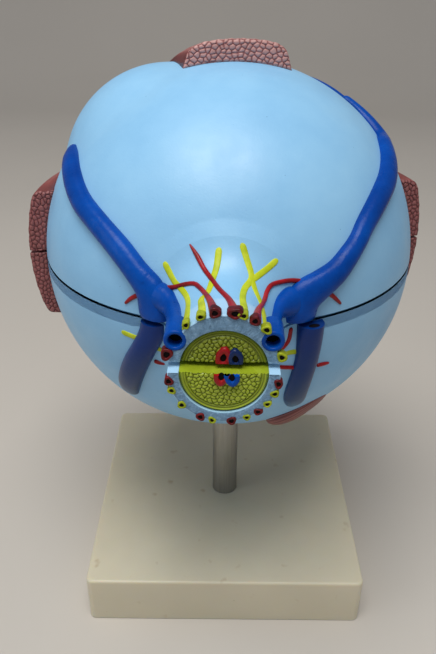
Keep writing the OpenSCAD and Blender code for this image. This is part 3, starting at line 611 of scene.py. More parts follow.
# ---------------------------------------------------------------- sclera
def skin_solid(end_y, around=320):
    """The outer skin as a closed solid about the nerve's axis, with a soft edge at the stub's cut end."""
    edge = 0.6
    flat = [[r, end_y] for r in (6, 11, 14, STUB_END_R - edge)]
    bend = np.radians(np.linspace(20, 80, 4))
    flat += [[STUB_END_R - edge + edge * np.sin(b), end_y - edge + edge * np.cos(b)] for b in bend]
    start = math.atan2(STUB_END_R, end_y - edge)
    flare = STUB_ANGLE[STUB_ANGLE > start + 0.0002]
    angles = np.concatenate([[start], flare, np.radians(np.linspace(25.5, 179, 168))])
    ring = full_turn(around)

    def round_axis(r, y):
        return stretched(np.stack([r * np.cos(ring), np.full(around, -y), r * np.sin(ring)], -1))

    rings = [round_axis(r, y) for r, y in flat]
    for a in angles:
        dirs = unit(round_axis(math.sin(a), math.cos(a)))
        rings.append(dirs * skin_r(dirs)[:, None])
    return stack(rings, ((0, -end_y, 0), (0, GLOBE_R - 0.07, 0)), inside_out=True)


def ring_cutter(half_gap):
    """Bevels the rim below the seam, all round but across the stub."""
    top, past = GLOBE_R - RIM_BEVEL_IN, 3
    foot = -half_gap - RIM_BEVEL_DOWN * (RIM_BEVEL_IN + past) / RIM_BEVEL_IN
    outline = np.array([[top, -half_gap], [top, 1], [GLOBE_R + past, 1], [GLOBE_R + past, foot]])
    half = math.degrees(math.asin(STUB_ROOT_R / GLOBE_R)) - 1.5
    spin = np.radians(NERVE_TURN - 90 + half + np.linspace(0, 360 - 2 * half, 220))[:, None]
    r, z = outline[None, :, 0], np.repeat(outline[None, :, 1], len(spin), 0)
    return stack(np.stack([r * np.cos(spin), r * np.sin(spin), z], -1), inside_out=True)


def front_and_pin_cuts():
    """The cornea's seat, the opening behind it, and the holes for the four pins."""
    pin_hole = moved(rod(PIN_HOLE_R, -6.5, 6.5, 24), (PIN_CIRCLE_R, 0, SEAM_Z))
    return [laid_forward(rod(CORNEA_SEAT_R, 60.5, 90)), laid_forward(rod(FRONT_OPENING_R, 20, 90)),
            *(turned(pin_hole, angle) for angle in PIN_ANGLES)]


def window_prism(grow=0.0):
    """A straight prism through the window, in the eye's frame."""
    curve = spline_through(np.array(WINDOW_OUTLINE) * (1 + grow), 6, closed=True)
    prism = stack([np.column_stack([curve, np.full(len(curve), z)]) for z in (30.0, 110.0)])
    return turned(turned(laid_back(prism), -WINDOW_EL, axis=0), WINDOW_AZ)


def spline_through(path, n, closed=False):
    """A smooth curve through points, with n steps between each two."""
    path = np.asarray(path, float)
    count = len(path)
    spans = count if closed else count - 1
    out = []
    for i in range(spans):
        def at(k):
            return path[k % count] if closed else path[min(max(k, 0), count - 1)]
        a, b, c, d = at(i - 1), at(i), at(i + 1), at(i + 2)
        for t in np.arange(n) / n:
            out.append((2 * b + (c - a) * t + (2 * a - 5 * b + 4 * c - d) * t**2
                        + (3 * b - a - 3 * c + d) * t**3) / 2)
    if not closed:
        out.append(path[-1])
    return np.array(out)


WINDOW_AZ, WINDOW_EL = 106.0, 47.0
WINDOW_OUTLINE = [[-1, 28], [-6.5, 21], [-12, 13.5], [-18, 4], [-22.5, -4], [-25, -9.5], [-23.5, -14],
                  [-18, -16.5], [0, -19.5], [14, -21], [21, -18.5], [25.5, -11], [27, 0], [25.5, 9],
                  [21, 15], [12, 20.5], [3, 27]]


def nerve_slot():
    """The open slot above the seam in the nerve's upper half."""
    back = -STUB_END_UPPER + NERVE_CUT_DEPTH
    return cuboid((-19, -STUB_END_UPPER - 6, -1), (19, back, NERVE_UPPER_EDGE))


def nerve_step():
    """The part of the nerve's lower half that stands in that slot."""
    back = -STUB_END_UPPER + NERVE_CUT_DEPTH - 1
    return cuboid((-18, -STUB_END_LOWER - 6, -3), (18, back, -NERVE_LOWER_EDGE))


def vein_holes():
    """Holes in the stub's end, behind the bores of the two cut veins."""
    hole = moved(rod(VEIN_BORE_R + 0.1, -4.6, 3, 40), (VEIN_TUBE_R, 0, STUB_END_UPPER))
    return [laid_back(turned(hole, angle)) for angle in VEIN_TUBE_ANGLES]


def make_sclera():
    low = SEAM_Z - SEAM_GAP / 2

    def at_nerve(part):
        return moved(turned(part, NERVE_TURN), SEAM_LINE)

    def bore(end_y):
        return at_nerve(laid_back(rod(FIBRE_R + 0.05, end_y - FIBRE_DEPTH, 120)))

    upper = carved(at_nerve(skin_solid(STUB_END_UPPER)), half_space(low + SEAM_GAP, True), ball(SCLERA_IN_R),
                   bore(STUB_END_UPPER), at_nerve(nerve_slot()), window_prism(),
                   *(at_nerve(hole) for hole in vein_holes()), *front_and_pin_cuts())
    boss = lathe([[0, -80], [10.4, -80], [11, -79.4], [14, -68], [0, -68]])
    with_boss = carved(at_nerve(skin_solid(STUB_END_LOWER)), boss, operation="UNION")
    above = carved(half_space(-low, False), at_nerve(nerve_step()))
    lower = carved(with_boss, above, moved(ring_cutter(SEAM_GAP / 2), SEAM_LINE), ball(SCLERA_IN_R),
                   bore(STUB_END_LOWER), rod(ROD_HOLE_R, -100, -67.5), *front_and_pin_cuts())
    for half, shell in (("upper", upper), ("lower", lower)):
        add_piece(f"sclera_{half}_shell", shell, from_eye, SCLERA, f"globe_{half}",
                  f"sclera_{half}", sharp=32)


# ---------------------------------------------------------------- vessels on the skin
def sweep(route, surface_r=skin_r, steps=16, fullness=1.0):
    """A vessel along a route of [azimuth, elevation, half width, height], laid on a surface."""
    sink = 0.5
    route = np.asarray(route, float)
    fine = spline_through(np.column_stack([toward(route[:, 0], route[:, 1]), route[:, 2:]]), 10)
    path, _ = drop(unit(fine[:, :3]) * surface_r(unit(fine[:, :3]))[:, None], surface_r)
    run = np.concatenate([[0], np.cumsum(np.linalg.norm(np.diff(path, axis=0), axis=1))])
    spots = sample_run(run[-1], fine[0, 3], fine[-1, 3])
    wide, high = np.interp(spots, run, fine[:, 3]), np.interp(spots, run, fine[:, 4])
    path, normal = drop(np.stack([np.interp(spots, run, path[:, k]) for k in range(3)], -1), surface_r)
    shrink = np.ones(len(spots))
    for away in (spots, spots[-1] - spots):
        reach = np.maximum(wide, 0.6)
        shrink *= np.sqrt(np.clip(1 - (1 - np.clip(away / reach, 0, 1)) ** 2, 0.0004, 1))
    side = unit(np.cross(unit(np.gradient(path, axis=0)), normal))
    a = np.linspace(0, math.pi, steps)
    across = np.concatenate([signed_power(np.cos(a), 0.9), [-0.92, 0.92]])
    up = np.concatenate([np.sin(a) ** fullness, [-1, -1]])
    base = path[:, None, :] + side[:, None, :] * (across[None, :] * (wide * shrink)[:, None])[..., None]
    foot, out = drop(base.reshape(-1, 3), surface_r)
    lift = np.where(up[None, :] < 0, -sink * shrink[:, None], up[None, :] * (high * shrink)[:, None])
    return stack((foot + out * lift.reshape(-1, 1)).reshape(base.shape), inside_out=True)


def sample_run(total, first_reach, last_reach):
    """Places along a run, close together at its two rounded ends."""
    near_end = np.array([0.01, 0.05, 0.12, 0.22, 0.36, 0.55, 0.8])
    even = np.linspace(0, total, max(8, int(total / 1.1)))
    spots = np.concatenate([even, first_reach * near_end, total - last_reach * near_end])
    return np.unique(np.clip(spots, 0, total).round(4))


def cut_to_seam(part, upper, margin=0.08):
    """Ends a part just short of the seam."""
    return carved(part, half_space(SEAM_GAP / 2 + margin, upper))


def open_end(radius, bore, length, depth, lip=0.3, count=28):
    """A short tube that stands on z = 0 with a round lip and a blind bore in its end."""
    wall = radius - bore
    lip = min(lip, wall * 0.45)
    bend = np.radians(np.linspace(0, 90, 4))
    outline = [[0, 0], [radius, 0]]
    outline += [[radius - lip + lip * np.cos(b), length - lip + lip * np.sin(b)] for b in bend]
    outline += [[bore + lip - lip * np.sin(b), length - lip + lip * np.cos(b)] for b in bend]
    outline += [[bore, length - depth], [0, length - depth]]
    return lathe(outline, count)


VEIN_LEFT_UPPER = [[-76, 35, 2.2, 1.2], [-71.5, 33.4, 3.4, 2.8], [-67, 32, 4, 3.4], [-58, 28.8, 4.1, 3.6],
                   [-48.3, 24.8, 4, 3.6], [-37.6, 20.8, 3.9, 3.6], [-29.4, 16.5, 4.1, 3.8],
                   [-23.4, 11.8, 4.2, 4], [-19.6, 8.2, 5.2, 4], [-18, 4.5, 6, 3.8], [-17.6, -2, 5.8, 3.6]]
VEIN_LEFT_STRAND = [[-20.5, 6.2, 3.8, 3.4], [-18.3, 6.6, 4.8, 3.7], [-16.2, 6.7, 4.8, 3.8],
                    [-14.2, 6.3, 4.2, 3.6], [-12.4, 5.7, 3.4, 3.4], [-11, 5.4, 3.1, 3.2],
                    [-9.8, 5.3, 3, 3], [-8.7, 5.4, 3, 2.6]]
VEIN_LEFT_LOWER = [[-18.2, 4, 4.6, 3.6], [-18.4, -1, 4.5, 3.6], [-19.6, -5, 4.3, 3.6], [-22, -9.5, 4.2, 3.6],
                   [-25.3, -15.3, 4.5, 3.4], [-28.6, -21.3, 4.6, 3.2], [-32, -27.5, 4.4, 2.6],
                   [-35, -33.5, 3.4, 1.4]]
VEIN_RIGHT_UPPER = [[100, 52, 2, 1.6], [94, 44.5, 2.6, 2.4], [86, 37.5, 3.2, 3], [78, 36, 3.6, 3.4],
                    [69, 32.5, 4, 3.6], [61, 29.4, 4.1, 3.7], [53.3, 26.7, 4, 3.6], [46.9, 23.9, 3.8, 3.5],
                    [41.7, 20.9, 3.6, 3.4], [37.8, 17.6, 3.5, 3.4], [33.7, 14.5, 3.8, 3.6],
                    [29.5, 11.4, 4.3, 3.8], [24.6, 9, 5, 4], [20.6, 6.8, 6, 4], [18.9, 3.8, 6.2, 3.8],
                    [18.4, -2, 5.8, 3.6]]
VEIN_RIGHT_STRAND = [[20, 6, 4, 3.6], [17.5, 6.2, 4.8, 3.8], [15.3, 6, 4.8, 3.8], [13.3, 5.8, 3.8, 3.4],
                     [11.9, 5.6, 2.6, 2.8], [10.9, 5.3, 1.9, 2.4], [9.8, 5.1, 1.8, 2.2], [8.8, 5.4, 2.2, 2.1]]
VEIN_RIGHT_LOWER = [[22, 4, 4.4, 5.4], [22, -1, 4.5, 5.3], [22.2, -6, 4.4, 4.3], [22.3, -12, 4.2, 3.6],
                    [22, -18, 4.3, 3.4], [22.1, -25, 4.5, 3], [23.3, -30, 4.2, 2.2], [25.2, -34.5, 3, 1.2]]
VEIN_TUBE_ANGLES = (146, 35)
VEIN_TUBES = (("left", VEIN_LEFT_UPPER, VEIN_LEFT_STRAND, VEIN_TUBE_ANGLES[0]),
              ("right", VEIN_RIGHT_UPPER, VEIN_RIGHT_STRAND, VEIN_TUBE_ANGLES[1]))
VEIN_TUBE_R = STUB_END_R + 0.6
VEIN_BORE_R = 2.0
VEIN_LIFT = 0.9


def vein_tube(angle):
    """The cut blue tube in the stub's rim, with its lumen."""
    tube = open_end(3.3, VEIN_BORE_R, 9.0, 4.0, lip=0.6, count=40)
    return laid_back(turned(moved(tube, (VEIN_TUBE_R, 0, STUB_END_UPPER - 8.6)), angle))


def make_veins():
    for side, route, strand, angle in VEIN_TUBES:
        piece = joined([cut_to_seam(sweep(route), True, VEIN_LIFT), sweep(strand), vein_tube(angle)])
        add_piece(f"vein_{side}_upper_relief", piece, from_nerve, VEIN_BLUE, "globe_upper",
                  f"vein_{side}_upper", sharp=50)
    # Painted shade: the lower veins' blue is darker than the upper veins', and the grey-blue they fade into
    # is darker than the sclera's paint.
    fade = vein_fade_and_shade_material("vein_fading_and_shade", (1, 44, 112), (26, 60, 104), (88, 130, 166),
                              EYE_Z - 42, EYE_Z - 6)
    for side, route in (("left", VEIN_LEFT_LOWER), ("right", VEIN_RIGHT_LOWER)):
        add_piece(f"vein_{side}_lower_relief", cut_to_seam(sweep(route), upper=False), from_nerve, fade,
                  "globe_lower", f"vein_{side}_lower", sharp=50)


SMALL_ROUTES = {
    "arteries_upper": [
        [[-1.5, 10.1, 2], [-1.9, 10.4, 1.8], [-2.8, 10.9, 1.3], [-4.1, 11.3], [-5.6, 11.7], [-7.2, 12],
         [-9.7, 11.3], [-12.4, 10.1], [-16, 9], [-19.5, 7.7]],
        [[-22.3, 6.3], [-24.9, 4.6], [-27, 2.6, 0.6]],
        [[1.8, 10.05, 2], [1.5, 10.5, 1.7], [0.6, 11.3, 1.2], [-1.5, 12.3], [-3.5, 13.7], [-5.4, 15.4],
         [-7.3, 17.9], [-9.6, 20.6, 0.35]],
        [[5.1, 8.6, 1.9], [5.5, 8.9, 1.7], [6.3, 9.1, 1.2], [7.5, 9], [8.5, 9.3], [9.4, 10.2],
         [10.9, 11.2], [13.5, 11.4], [17, 11.3], [20.4, 10.5], [22.9, 9.6], [25.2, 8.2]],
        [[26.9, 6.8], [28.8, 5.1], [31.4, 2.4, 0.6]]],
    "nerves_upper": [
        [[-16.2, 15.6, 0.5], [-15.6, 14.8], [-13, 11.5], [-10.7, 10.3], [-8, 9.2], [-7.1, 8.3, 1.2],
         [-6.4, 7.5, 1.5]],
        [[-1.9, 20.2, 0.5], [-1.9, 19.5], [-2.2, 16.1], [-2.8, 13.8], [-3.6, 11.5], [-4.7, 10.6],
         [-4.1, 10, 1.2], [-3.8, 9.4, 1.5]],
        [[4.1, 21.3, 0.5], [4.2, 20.5], [5, 17.8], [6, 13.6], [4.1, 12], [3.4, 11.1], [3.4, 10.3, 1.2],
         [3.1, 9.65, 1.5]],
        [[13.2, 17, 0.6], [12.6, 16.5], [10.5, 15.1], [7.7, 13.7], [5.9, 13]],
        [[6, 13.6], [6.2, 12.4], [6.6, 11], [7.3, 9.2], [7.3, 8, 1.1], [7, 6.8, 1.5]]],
    "arteries_lower": [
        [[16.6, -1], [16.5, -2.8], [16.2, -5], [14.3, -7.2], [12.5, -8]],
        [[13, -13.2], [17.2, -14.2], [20.9, -15]],
        [[26.3, -15.8], [28.7, -15.9], [30.8, -16.3, 0.5]],
        [[-19.5, -13.2], [-18.3, -13.5], [-16.4, -13.8, 0.5]]],
    "nerves_lower": [
        [[-28.8, -6.2, 0.5], [-28.3, -6.3], [-25.9, -6.6], [-23.5, -6.9], [-21, -7.2]],
        [[-20, -8.4], [-18.1, -8.7], [-15.8, -9.3, 0.7]],
        [[13, -9.8], [14.8, -9.7], [17.2, -9.1], [20, -9.3]]],
}
END_BEADS = {
    "arteries_upper": (1.7, [60, 80, 99, 165]),
    "nerves_upper": (1.35, [14, 46, 72, 113, 129]),
    "arteries_lower": (1.45, [187, 245, 279, 310, 352]),
    "nerves_lower": (1.2, [199, 220, 258, 296, 324, 339]),
}
SMALL_KINDS = {"arteries": (0.75, 0.8, "artery_paint", ARTERY_RED, ARTERY_DARK),
               "nerves": (1.0, 0.3, "nerve_paint", NERVE_YELLOW, NERVE_DARK)}


def thin_sweep(route, half_width, high):
    """A thin vessel, whose points may name a share of the half width and the height."""
    shares = [p[2] if len(p) > 2 else 1 for p in route]
    return sweep([[p[0], p[1], half_width * s, high * s] for p, s in zip(route, shares)], steps=12)


def end_beads(radius, angles, end_y, rng):
    """Cut ends round the stub's rim, each a little different, each with a black disc of painted shade in its
    lumen.
    """
    tall, dip = 2.5, 0.34
    tubes, lumen_shades = [], []
    for angle in angles:
        upper = angle < 180
        r = radius * rng.uniform(0.88, 1.12)
        lean = rng.uniform(-0.3, 0.3)
        spread = STUB_END_R + (0.8 if upper else -0.35)
        a = math.radians(angle)
        at = np.array([spread * math.cos(a), spread * math.sin(a) * (STUB_TOP_STRETCH if upper else 1),
                       end_y - 1.9])
        tube = open_end(r, r * 0.5, tall, 0.35, lip=0.3, count=20)
        squeeze = np.array([rng.uniform(0.88, 1.0), rng.uniform(0.95, 1.15), 1])
        skew = tube[0] * squeeze
        skew[:, 1] += lean * skew[:, 0]
        lobes = 3 * np.arctan2(skew[:, 1], skew[:, 0]) + rng.uniform(0, 6)
        skew[:, :2] *= 1 + 0.1 * np.sin(lobes)[:, None]
        tubes.append(laid_back(moved(turned((skew, tube[1]), angle), at)))
        # A black disc of painted shade in the bore of each cut end.
        plug = lathe([[0, 0], [r * 0.48, 0], [r * 0.48, 0.05], [0, 0.08]], 16)
        spot = at + [0, 0, tall - dip]
        lumen_shades.append(laid_back(moved(turned((plug[0] * squeeze, plug[1]), angle), spot)))
    return tubes, lumen_shades


def vein_top_lumen():
    """A black disc of painted shade that stands for the hollow in the flat top of the right lower vein, at
    the seam.
    """
    disc = lathe([[0, -0.2], [1.9, -0.2], [1.9, 0], [0, 0.04]], 28)
    flat = disc[0] * [1, 0.6, 1]
    return moved(turned((flat, disc[1]), 22), (28.2, -69.6, -SEAM_GAP / 2 - 0.08))


def make_small_vessels():
    rng = np.random.default_rng(11)
    # Black discs of painted shade at the bottoms of the veins' bores.
    plug = lathe([[0, 0], [VEIN_BORE_R - 0.02, 0], [VEIN_BORE_R - 0.02, 0.4], [0, 0.5]], 24)
    plug = moved(plug, (VEIN_TUBE_R, 0, STUB_END_UPPER - 3.5))
    vein_lumens = {"upper": [laid_back(turned(plug, angle)) for angle in VEIN_TUBE_ANGLES],
                   "lower": [vein_top_lumen()]}
    dark = {"upper": [], "lower": []}
    for half, end_y in (("upper", STUB_END_UPPER), ("lower", STUB_END_LOWER)):
        body = f"globe_{half}"
        for kind, (width, high, slot, paint, dark_paint) in SMALL_KINDS.items():
            node = f"ciliary_{kind}_{half}"
            tubes, lumen_shades = end_beads(*END_BEADS[f"{kind}_{half}"], end_y, rng)
            vessels = [cut_to_seam(thin_sweep(route, width, high), half == "upper")
                       for route in SMALL_ROUTES[f"{kind}_{half}"]]
            add_piece(f"{node}_relief", joined(vessels), from_nerve, paint, body, node, sharp=60)
            add_piece(f"{node}_cut_ends", joined(tubes), from_nerve, dark_paint, body, sharp=60)
            dark[half] += lumen_shades
    for half, lumen_shades in dark.items():
        lumen_shades += vein_lumens[half]
        add_piece(f"lumens_{half}", joined(lumen_shades), from_nerve, LUMEN_SHADE, f"globe_{half}")


# ---------------------------------------------------------------- nerve's cut face
def cobbles(x, z, cell, rng, edge, stretch=1.0):
    """Domed cells over points of a face: 0 in the grooves and 1 on the tops."""
    low_x, low_z = x.min() - cell, z.min() - cell
    seeds = np.array([
        [gx + rng.uniform(-0.36, 0.36) * cell, gz + rng.uniform(-0.36, 0.36) * cell / stretch]
        for i, gz in enumerate(np.arange(low_z, z.max() + cell, cell * 0.87 / stretch))
        for gx in np.arange(low_x + (i % 2) * cell / 2, x.max() + cell, cell)])
    flat = np.column_stack([x.ravel(), z.ravel()])
    nearest = []
    for start in range(0, len(flat), 4000):
        block = flat[start:start + 4000]
        d = np.hypot(block[:, :1] - seeds[:, 0], (block[:, 1:] - seeds[:, 1]) * stretch)
        nearest.append(np.partition(d, 1, axis=1)[:, :2])
    nearest = np.concatenate(nearest)
    gap = np.clip((nearest[:, 1] - nearest[:, 0]) / (edge * cell * 0.7), 0, 1)
    return (1 - (1 - gap) ** 2.2).reshape(x.shape)


def fibre_plug(end_y, seed):
    """The bundle of fibres: a plug whose face has two raised rings round a field of cobbles."""
    r = np.linspace(0, FIBRE_R, 66)[1:]
    a = full_turn(260)
    rr, aa = np.meshgrid(r, a, indexing="ij")
    x, z = rr * np.cos(aa), rr * np.sin(aa)
    tops = cobbles(x, z, 1.45, np.random.default_rng(seed), edge=0.55)
    inner = np.clip((10.6 - rr) / 0.4, 0, 1)
    rings = 0.62 * np.exp(-((rr - 11.8) / 0.36) ** 2) + 0.5 * np.exp(-((rr - 10.95) / 0.26) ** 2)
    crown = 0.5 * np.clip(1 - (rr / 11.5) ** 2, 0, 1)
    y = end_y - FIBRE_RECESS - 0.35 + (inner * (0.62 * tops + crown * 0.6) + rings)
    shade = np.clip(inner * tops + np.clip(rings / 0.5, 0, 1) * 0.8, 0.0, 1)
    back_y = FIBRE_DEPTH - 0.1 - end_y
    back = np.stack([FIBRE_R * np.cos(a), np.full(len(a), back_y), FIBRE_R * np.sin(a)], -1)
    face = np.stack([x, -y, z], -1)
    part = stack(np.concatenate([face, back[None]]), ((0, -y[0].mean(), 0), (0, back_y, 0)))
    return part, np.concatenate([shade.ravel(), np.full(len(a), 0.3), [0.6, 0.3]])


def near_values(points, known_points, known_values):
    """Values of the nearest known points, for a part that was carved."""
    tree = KDTree(len(known_points))
    for i, p in enumerate(known_points):
        tree.insert(p, i)
    tree.balance()
    return [known_values[tree.find(p)[1]] for p in points]


def set_values(obj, name, values):
    layer = obj.data.attributes.new(name, "FLOAT", "POINT")
    layer.data.foreach_set("value", np.asarray(values, np.float32))


LOBE_PROUD, LOBE_HALF, LOBE_DIP = 0.65, 2.2, 0.75


def central_lobe(cx, z_from, z_to, end_y, upper, lean, cut):
    """A cut central vessel: a rounded lobe that rises from the seam, with a dip for its lumen."""
    a = full_turn(40)
    mid, tall = (z_from + z_to) / 2, (z_to - z_from) / 2
    x = signed_power(np.cos(a), 0.8) * LOBE_HALF
    z = signed_power(np.sin(a), 0.8) * tall
    taper = 1 - 0.45 * np.clip((z / tall) * (1 if upper else -1), 0, 1) ** 2
    rings = []
    profile = ((1, -8), (1, -0.25), (0.9, 0.05), (0.74, 0.16), (0.46, 0.1), (0.36, -0.5), (0.2, -0.7))
    for share, lift in profile:
        face = np.full(len(a), -(end_y + LOBE_PROUD + lift))
        rings.append(np.stack([cx + x * taper * share + lean * z * share, face, mid + z * share], -1))
    dip = (cx, -(end_y + LOBE_PROUD - LOBE_DIP), mid)
    return carved(stack(rings, (None, dip), inside_out=True), half_space(cut, upper))


def lobe_lumen(cx, z_from, z_to, end_y):
    """A black disc of painted shade in the dip of a central vessel's cut end."""
    disc = lathe([[0, 0], [LOBE_HALF * 0.4, 0], [LOBE_HALF * 0.4, 0.3], [0, 0.36]], 24)
    tall = disc[0] * [1, (z_to - z_from) / 2 / LOBE_HALF, 1]
    floor = end_y + LOBE_PROUD - LOBE_DIP + 0.03
    return laid_back(moved((tall, disc[1]), (cx, (z_from + z_to) / 2, floor)))


def make_nerve():
    """In each half: the fibres, the sheath's face, and the central artery's and vein's cut ends."""
    rows = (("upper", STUB_END_UPPER, 3, NERVE_UPPER_EDGE, FIBRE_UPPER, VEIN_DARK, (0.7, 7.3), (-0.2, 3.2)),
            ("lower", STUB_END_LOWER, 5, NERVE_LOWER_EDGE, FIBRE_LOWER, VEIN_BLUE, (-3.2, 3.1), (-0.6, 2.3)))
    for half, end_y, seed, edge, green, blue, (low, high), (artery_x, vein_x) in rows:
        upper, body = half == "upper", f"globe_{half}"
        plug, shade = fibre_plug(end_y, seed)
        cut = cut_to_seam(plug, upper, edge - SEAM_GAP / 2)
        obj = add_piece(f"fibre_bundle_{half}", cut, from_nerve, green, body,
                        f"nerve_fibres_{half}", sharp=55)
        values = np.array(near_values(cut[0], plug[0], shade))
        flat = np.abs(np.abs(cut[0][:, 2]) - abs(edge)) < 0.02
        set_values(obj, "cobble", np.where(flat, 0.5, values))
        ring = sheath_face(end_y, upper, seed, edge)
        if upper:
            ring = carved(ring, *vein_holes())
        add_piece(f"sheath_face_{half}", ring, from_nerve, SHEATH, body, sharp=60)
        vessels = (("artery", artery_x, high, end_y, 0.1, ARTERY_RED),
                   ("vein", vein_x, high - 0.5, end_y + 0.12, -0.08, blue))
        # Black discs of painted shade in the dips of the central vessels' cut ends.
        shade_discs = joined([lobe_lumen(x, low, top, proud) for _, x, top, proud, *_ in vessels])
        add_piece(f"central_lumen_shades_{half}", shade_discs, from_nerve, LUMEN_SHADE, body)
        for name, x, top, proud, lean, paint in vessels:
            lobe = central_lobe(x, low, top, proud, upper, lean, edge + 0.04)
            add_piece(f"central_{name}_{half}_end", lobe, from_nerve, paint, body,
                      f"central_{name}_{half}", sharp=60)


def sheath_face(end_y, upper, seed, edge):
    """A thin rough ring on the sheath's cut end, between the fibres and the stub's rim."""
    rng = np.random.default_rng(seed + 20)
    r = np.linspace(FIBRE_R + 0.1, STUB_END_R - 0.35, 11)
    rr, share = np.meshgrid(r, np.linspace(0, 1, 220), indexing="ij")
    tip = np.arcsin(edge / rr)
    aa = tip + (math.pi - 2 * tip) * share + (0 if upper else math.pi)
    grain = rng.normal(0, 1, rr.shape)
    grain = (grain + np.roll(grain, 1, 0) + np.roll(grain, 1, 1)) / 3
    fade = np.clip(np.minimum(rr - r[0], r[-1] - rr) / 0.5, 0, 1)
    top = end_y + 0.03 + 0.09 * fade * (1 + 0.9 * grain)
    z = rr * np.sin(aa) * (1 + (STUB_TOP_STRETCH - 1) * (rr - r[0]) / (r[-1] - r[0]) if upper else 1)
    z = np.maximum(z, edge) if upper else np.minimum(z, -edge)
    x = rr * np.cos(aa)
    rear = np.stack([x, np.full(rr.shape, -(end_y - 0.3)), z], -1)
    return sheet(np.stack([x, -top, z], -1), rear, inside_out=True)


# ---------------------------------------------------------------- muscles
MUSCLE_CUT_Y, MUSCLE_TENDON_Y = -5.0, 36.0
MUSCLE_HALF, SIDE_MUSCLE_HALF, TENDON_HALF = 19.5, 26.0, 26.0
MUSCLE_BOW_R = 90.0
MUSCLE_T = 6.5
MUSCLE_LEAN = 0.13
MUSCLE_SINK = 0.25


def bow_centre(thick):
    """Centre, forward and up, of the bowed outer face through the cut end's top and the tendon."""
    p = np.array([MUSCLE_CUT_Y, math.sqrt((GLOBE_R + thick) ** 2 - MUSCLE_CUT_Y**2)])
    q = np.array([MUSCLE_TENDON_Y, math.sqrt(GLOBE_R**2 - MUSCLE_TENDON_Y**2)])
    m, h, u = (p + q) / 2, np.linalg.norm(q - p) / 2, (q - p) / np.linalg.norm(q - p)
    return m + math.sqrt(MUSCLE_BOW_R**2 - h**2) * np.array([u[1], -u[0]])


def rectus(seed, cut_half=MUSCLE_HALF, off=0.0, cut_y=MUSCLE_CUT_Y, floor=None, thick_at_cut=MUSCLE_T,
           power=7.0, taper=MUSCLE_LEAN):
    """A straight muscle on the top of the globe, in the eye's frame: cut end, sides and underside."""
    rng = np.random.default_rng(seed)
    a = np.linspace(math.pi, 0, 190)
    bowed = signed_power(np.cos(a), 2 / power)
    across = np.unique(np.concatenate([bowed, np.linspace(-0.985, 0.985, 150)]).round(5))
    along = np.linspace(0, 1, 40) ** 0.9
    centre = bow_centre(thick_at_cut)
    uu, ss = np.meshgrid(across, along, indexing="xy")
    y = cut_y + (MUSCLE_TENDON_Y - 0.4 - cut_y) * ss
    half = cut_half + (TENDON_HALF - cut_half) * (y - cut_y) / (MUSCLE_TENDON_Y - cut_y)
    x = off + uu * half
    bottom = np.sqrt(GLOBE_R**2 - x**2 - y**2) - MUSCLE_SINK
    if floor is not None:
        bottom = np.maximum(bottom, floor(x, y) - MUSCLE_SINK)
    top = centre[1] + np.sqrt(np.maximum(MUSCLE_BOW_R**2 - (x - off) ** 2 - (y - centre[0]) ** 2, 0))
    thick = np.maximum(top - bottom, 0.12)
    rise = np.clip(1 - np.abs(uu) ** power, 0, 1) ** (1 / power)
    streak = strands(uu, ss, rng)
    relief = 0.28 * (streak - 0.5) * np.clip(thick / 4, 0, 1) * np.clip(rise * 3, 0, 1)
    lean = 1 - taper * rise * np.clip(thick / 8, 0, 1)
    upper = np.stack([off + (x - off) * lean, y, bottom + thick * rise + relief], -1)
    lower = np.stack([x, y, bottom], -1)
    ux, vv = np.meshgrid(across, np.linspace(0, 1, 34), indexing="xy")
    fx, fz = (lower[0, :, k] + (upper[0, :, k] - lower[0, :, k]) * vv for k in (0, 2))
    tops = cobbles(fx, fz, 2.1, rng, 0.75, stretch=1.2)
    edge = np.clip(np.minimum(vv, 1 - vv) / 0.12, 0, 1) * np.clip((1 - np.abs(ux)) / 0.03, 0, 1)
    front = np.stack([fx, cut_y - edge * (0.1 + 0.45 * tops), fz], -1)
    rows, cols = uu.shape
    count, last = rows * cols, (rows - 1) * cols
    faces = grid_faces(rows, cols)
    faces += [[i + count for i in f[::-1]] for f in grid_faces(rows, cols)]
    faces += [[last + j, last + j + 1, count + last + j + 1, count + last + j] for j in range(cols - 1)]
    cut_faces = [[i + 2 * count for i in f] for f in grid_faces(len(vv), cols)]
    points = np.concatenate([grid.reshape(-1, 3) for grid in (upper, lower, front)])
    values = np.concatenate([np.clip(streak, 0, 1).ravel(), np.full(count, 0.3), tops.ravel()])
    return points, faces, cut_faces, values


def strands(uu, ss, rng):
    """Wavy fibres along a muscle, from 0 in the furrows to 1 on the ridges."""
    total = np.zeros(uu.shape)
    for count, weight in ((26, 0.5), (47, 0.3), (90, 0.2)):
        phase = rng.uniform(0, 6.3)
        drift = 0.35 * np.sin(2.3 * ss + rng.uniform(0, 6))
        drift += 0.25 * np.sin(6.1 * ss + 3 * uu + rng.uniform(0, 6))
        total += weight * (0.5 + 0.5 * np.sin(count * uu + phase + drift * 3))
    return total


def add_muscle(name, seed, degrees, body, node, keep=None, cut_paint=MUSCLE_CUT, **shape):
    """A straight muscle in two paints, turned about the line of sight, and cut at the seam if asked."""
    points, side_faces, cut_faces, values = rectus(seed, **shape)
    part = turned((points, side_faces + cut_faces), degrees, axis=1)
    obj = add_piece(name, part, from_eye, MUSCLE_SIDE, body, node, sharp=70)
    obj.data.materials.append(cut_paint)
    material_index = [0] * len(side_faces) + [1] * len(cut_faces)
    obj.data.polygons.foreach_set("material_index", material_index[:len(obj.data.polygons)])
    set_values(obj, "streak", values)
    set_values(obj, "cobble", values)
    with edited(obj) as work:
        bmesh.ops.remove_doubles(work, verts=work.verts, dist=0.004 * MM)
    if keep:
        trim(obj, 1 if keep == "upper" else -1)


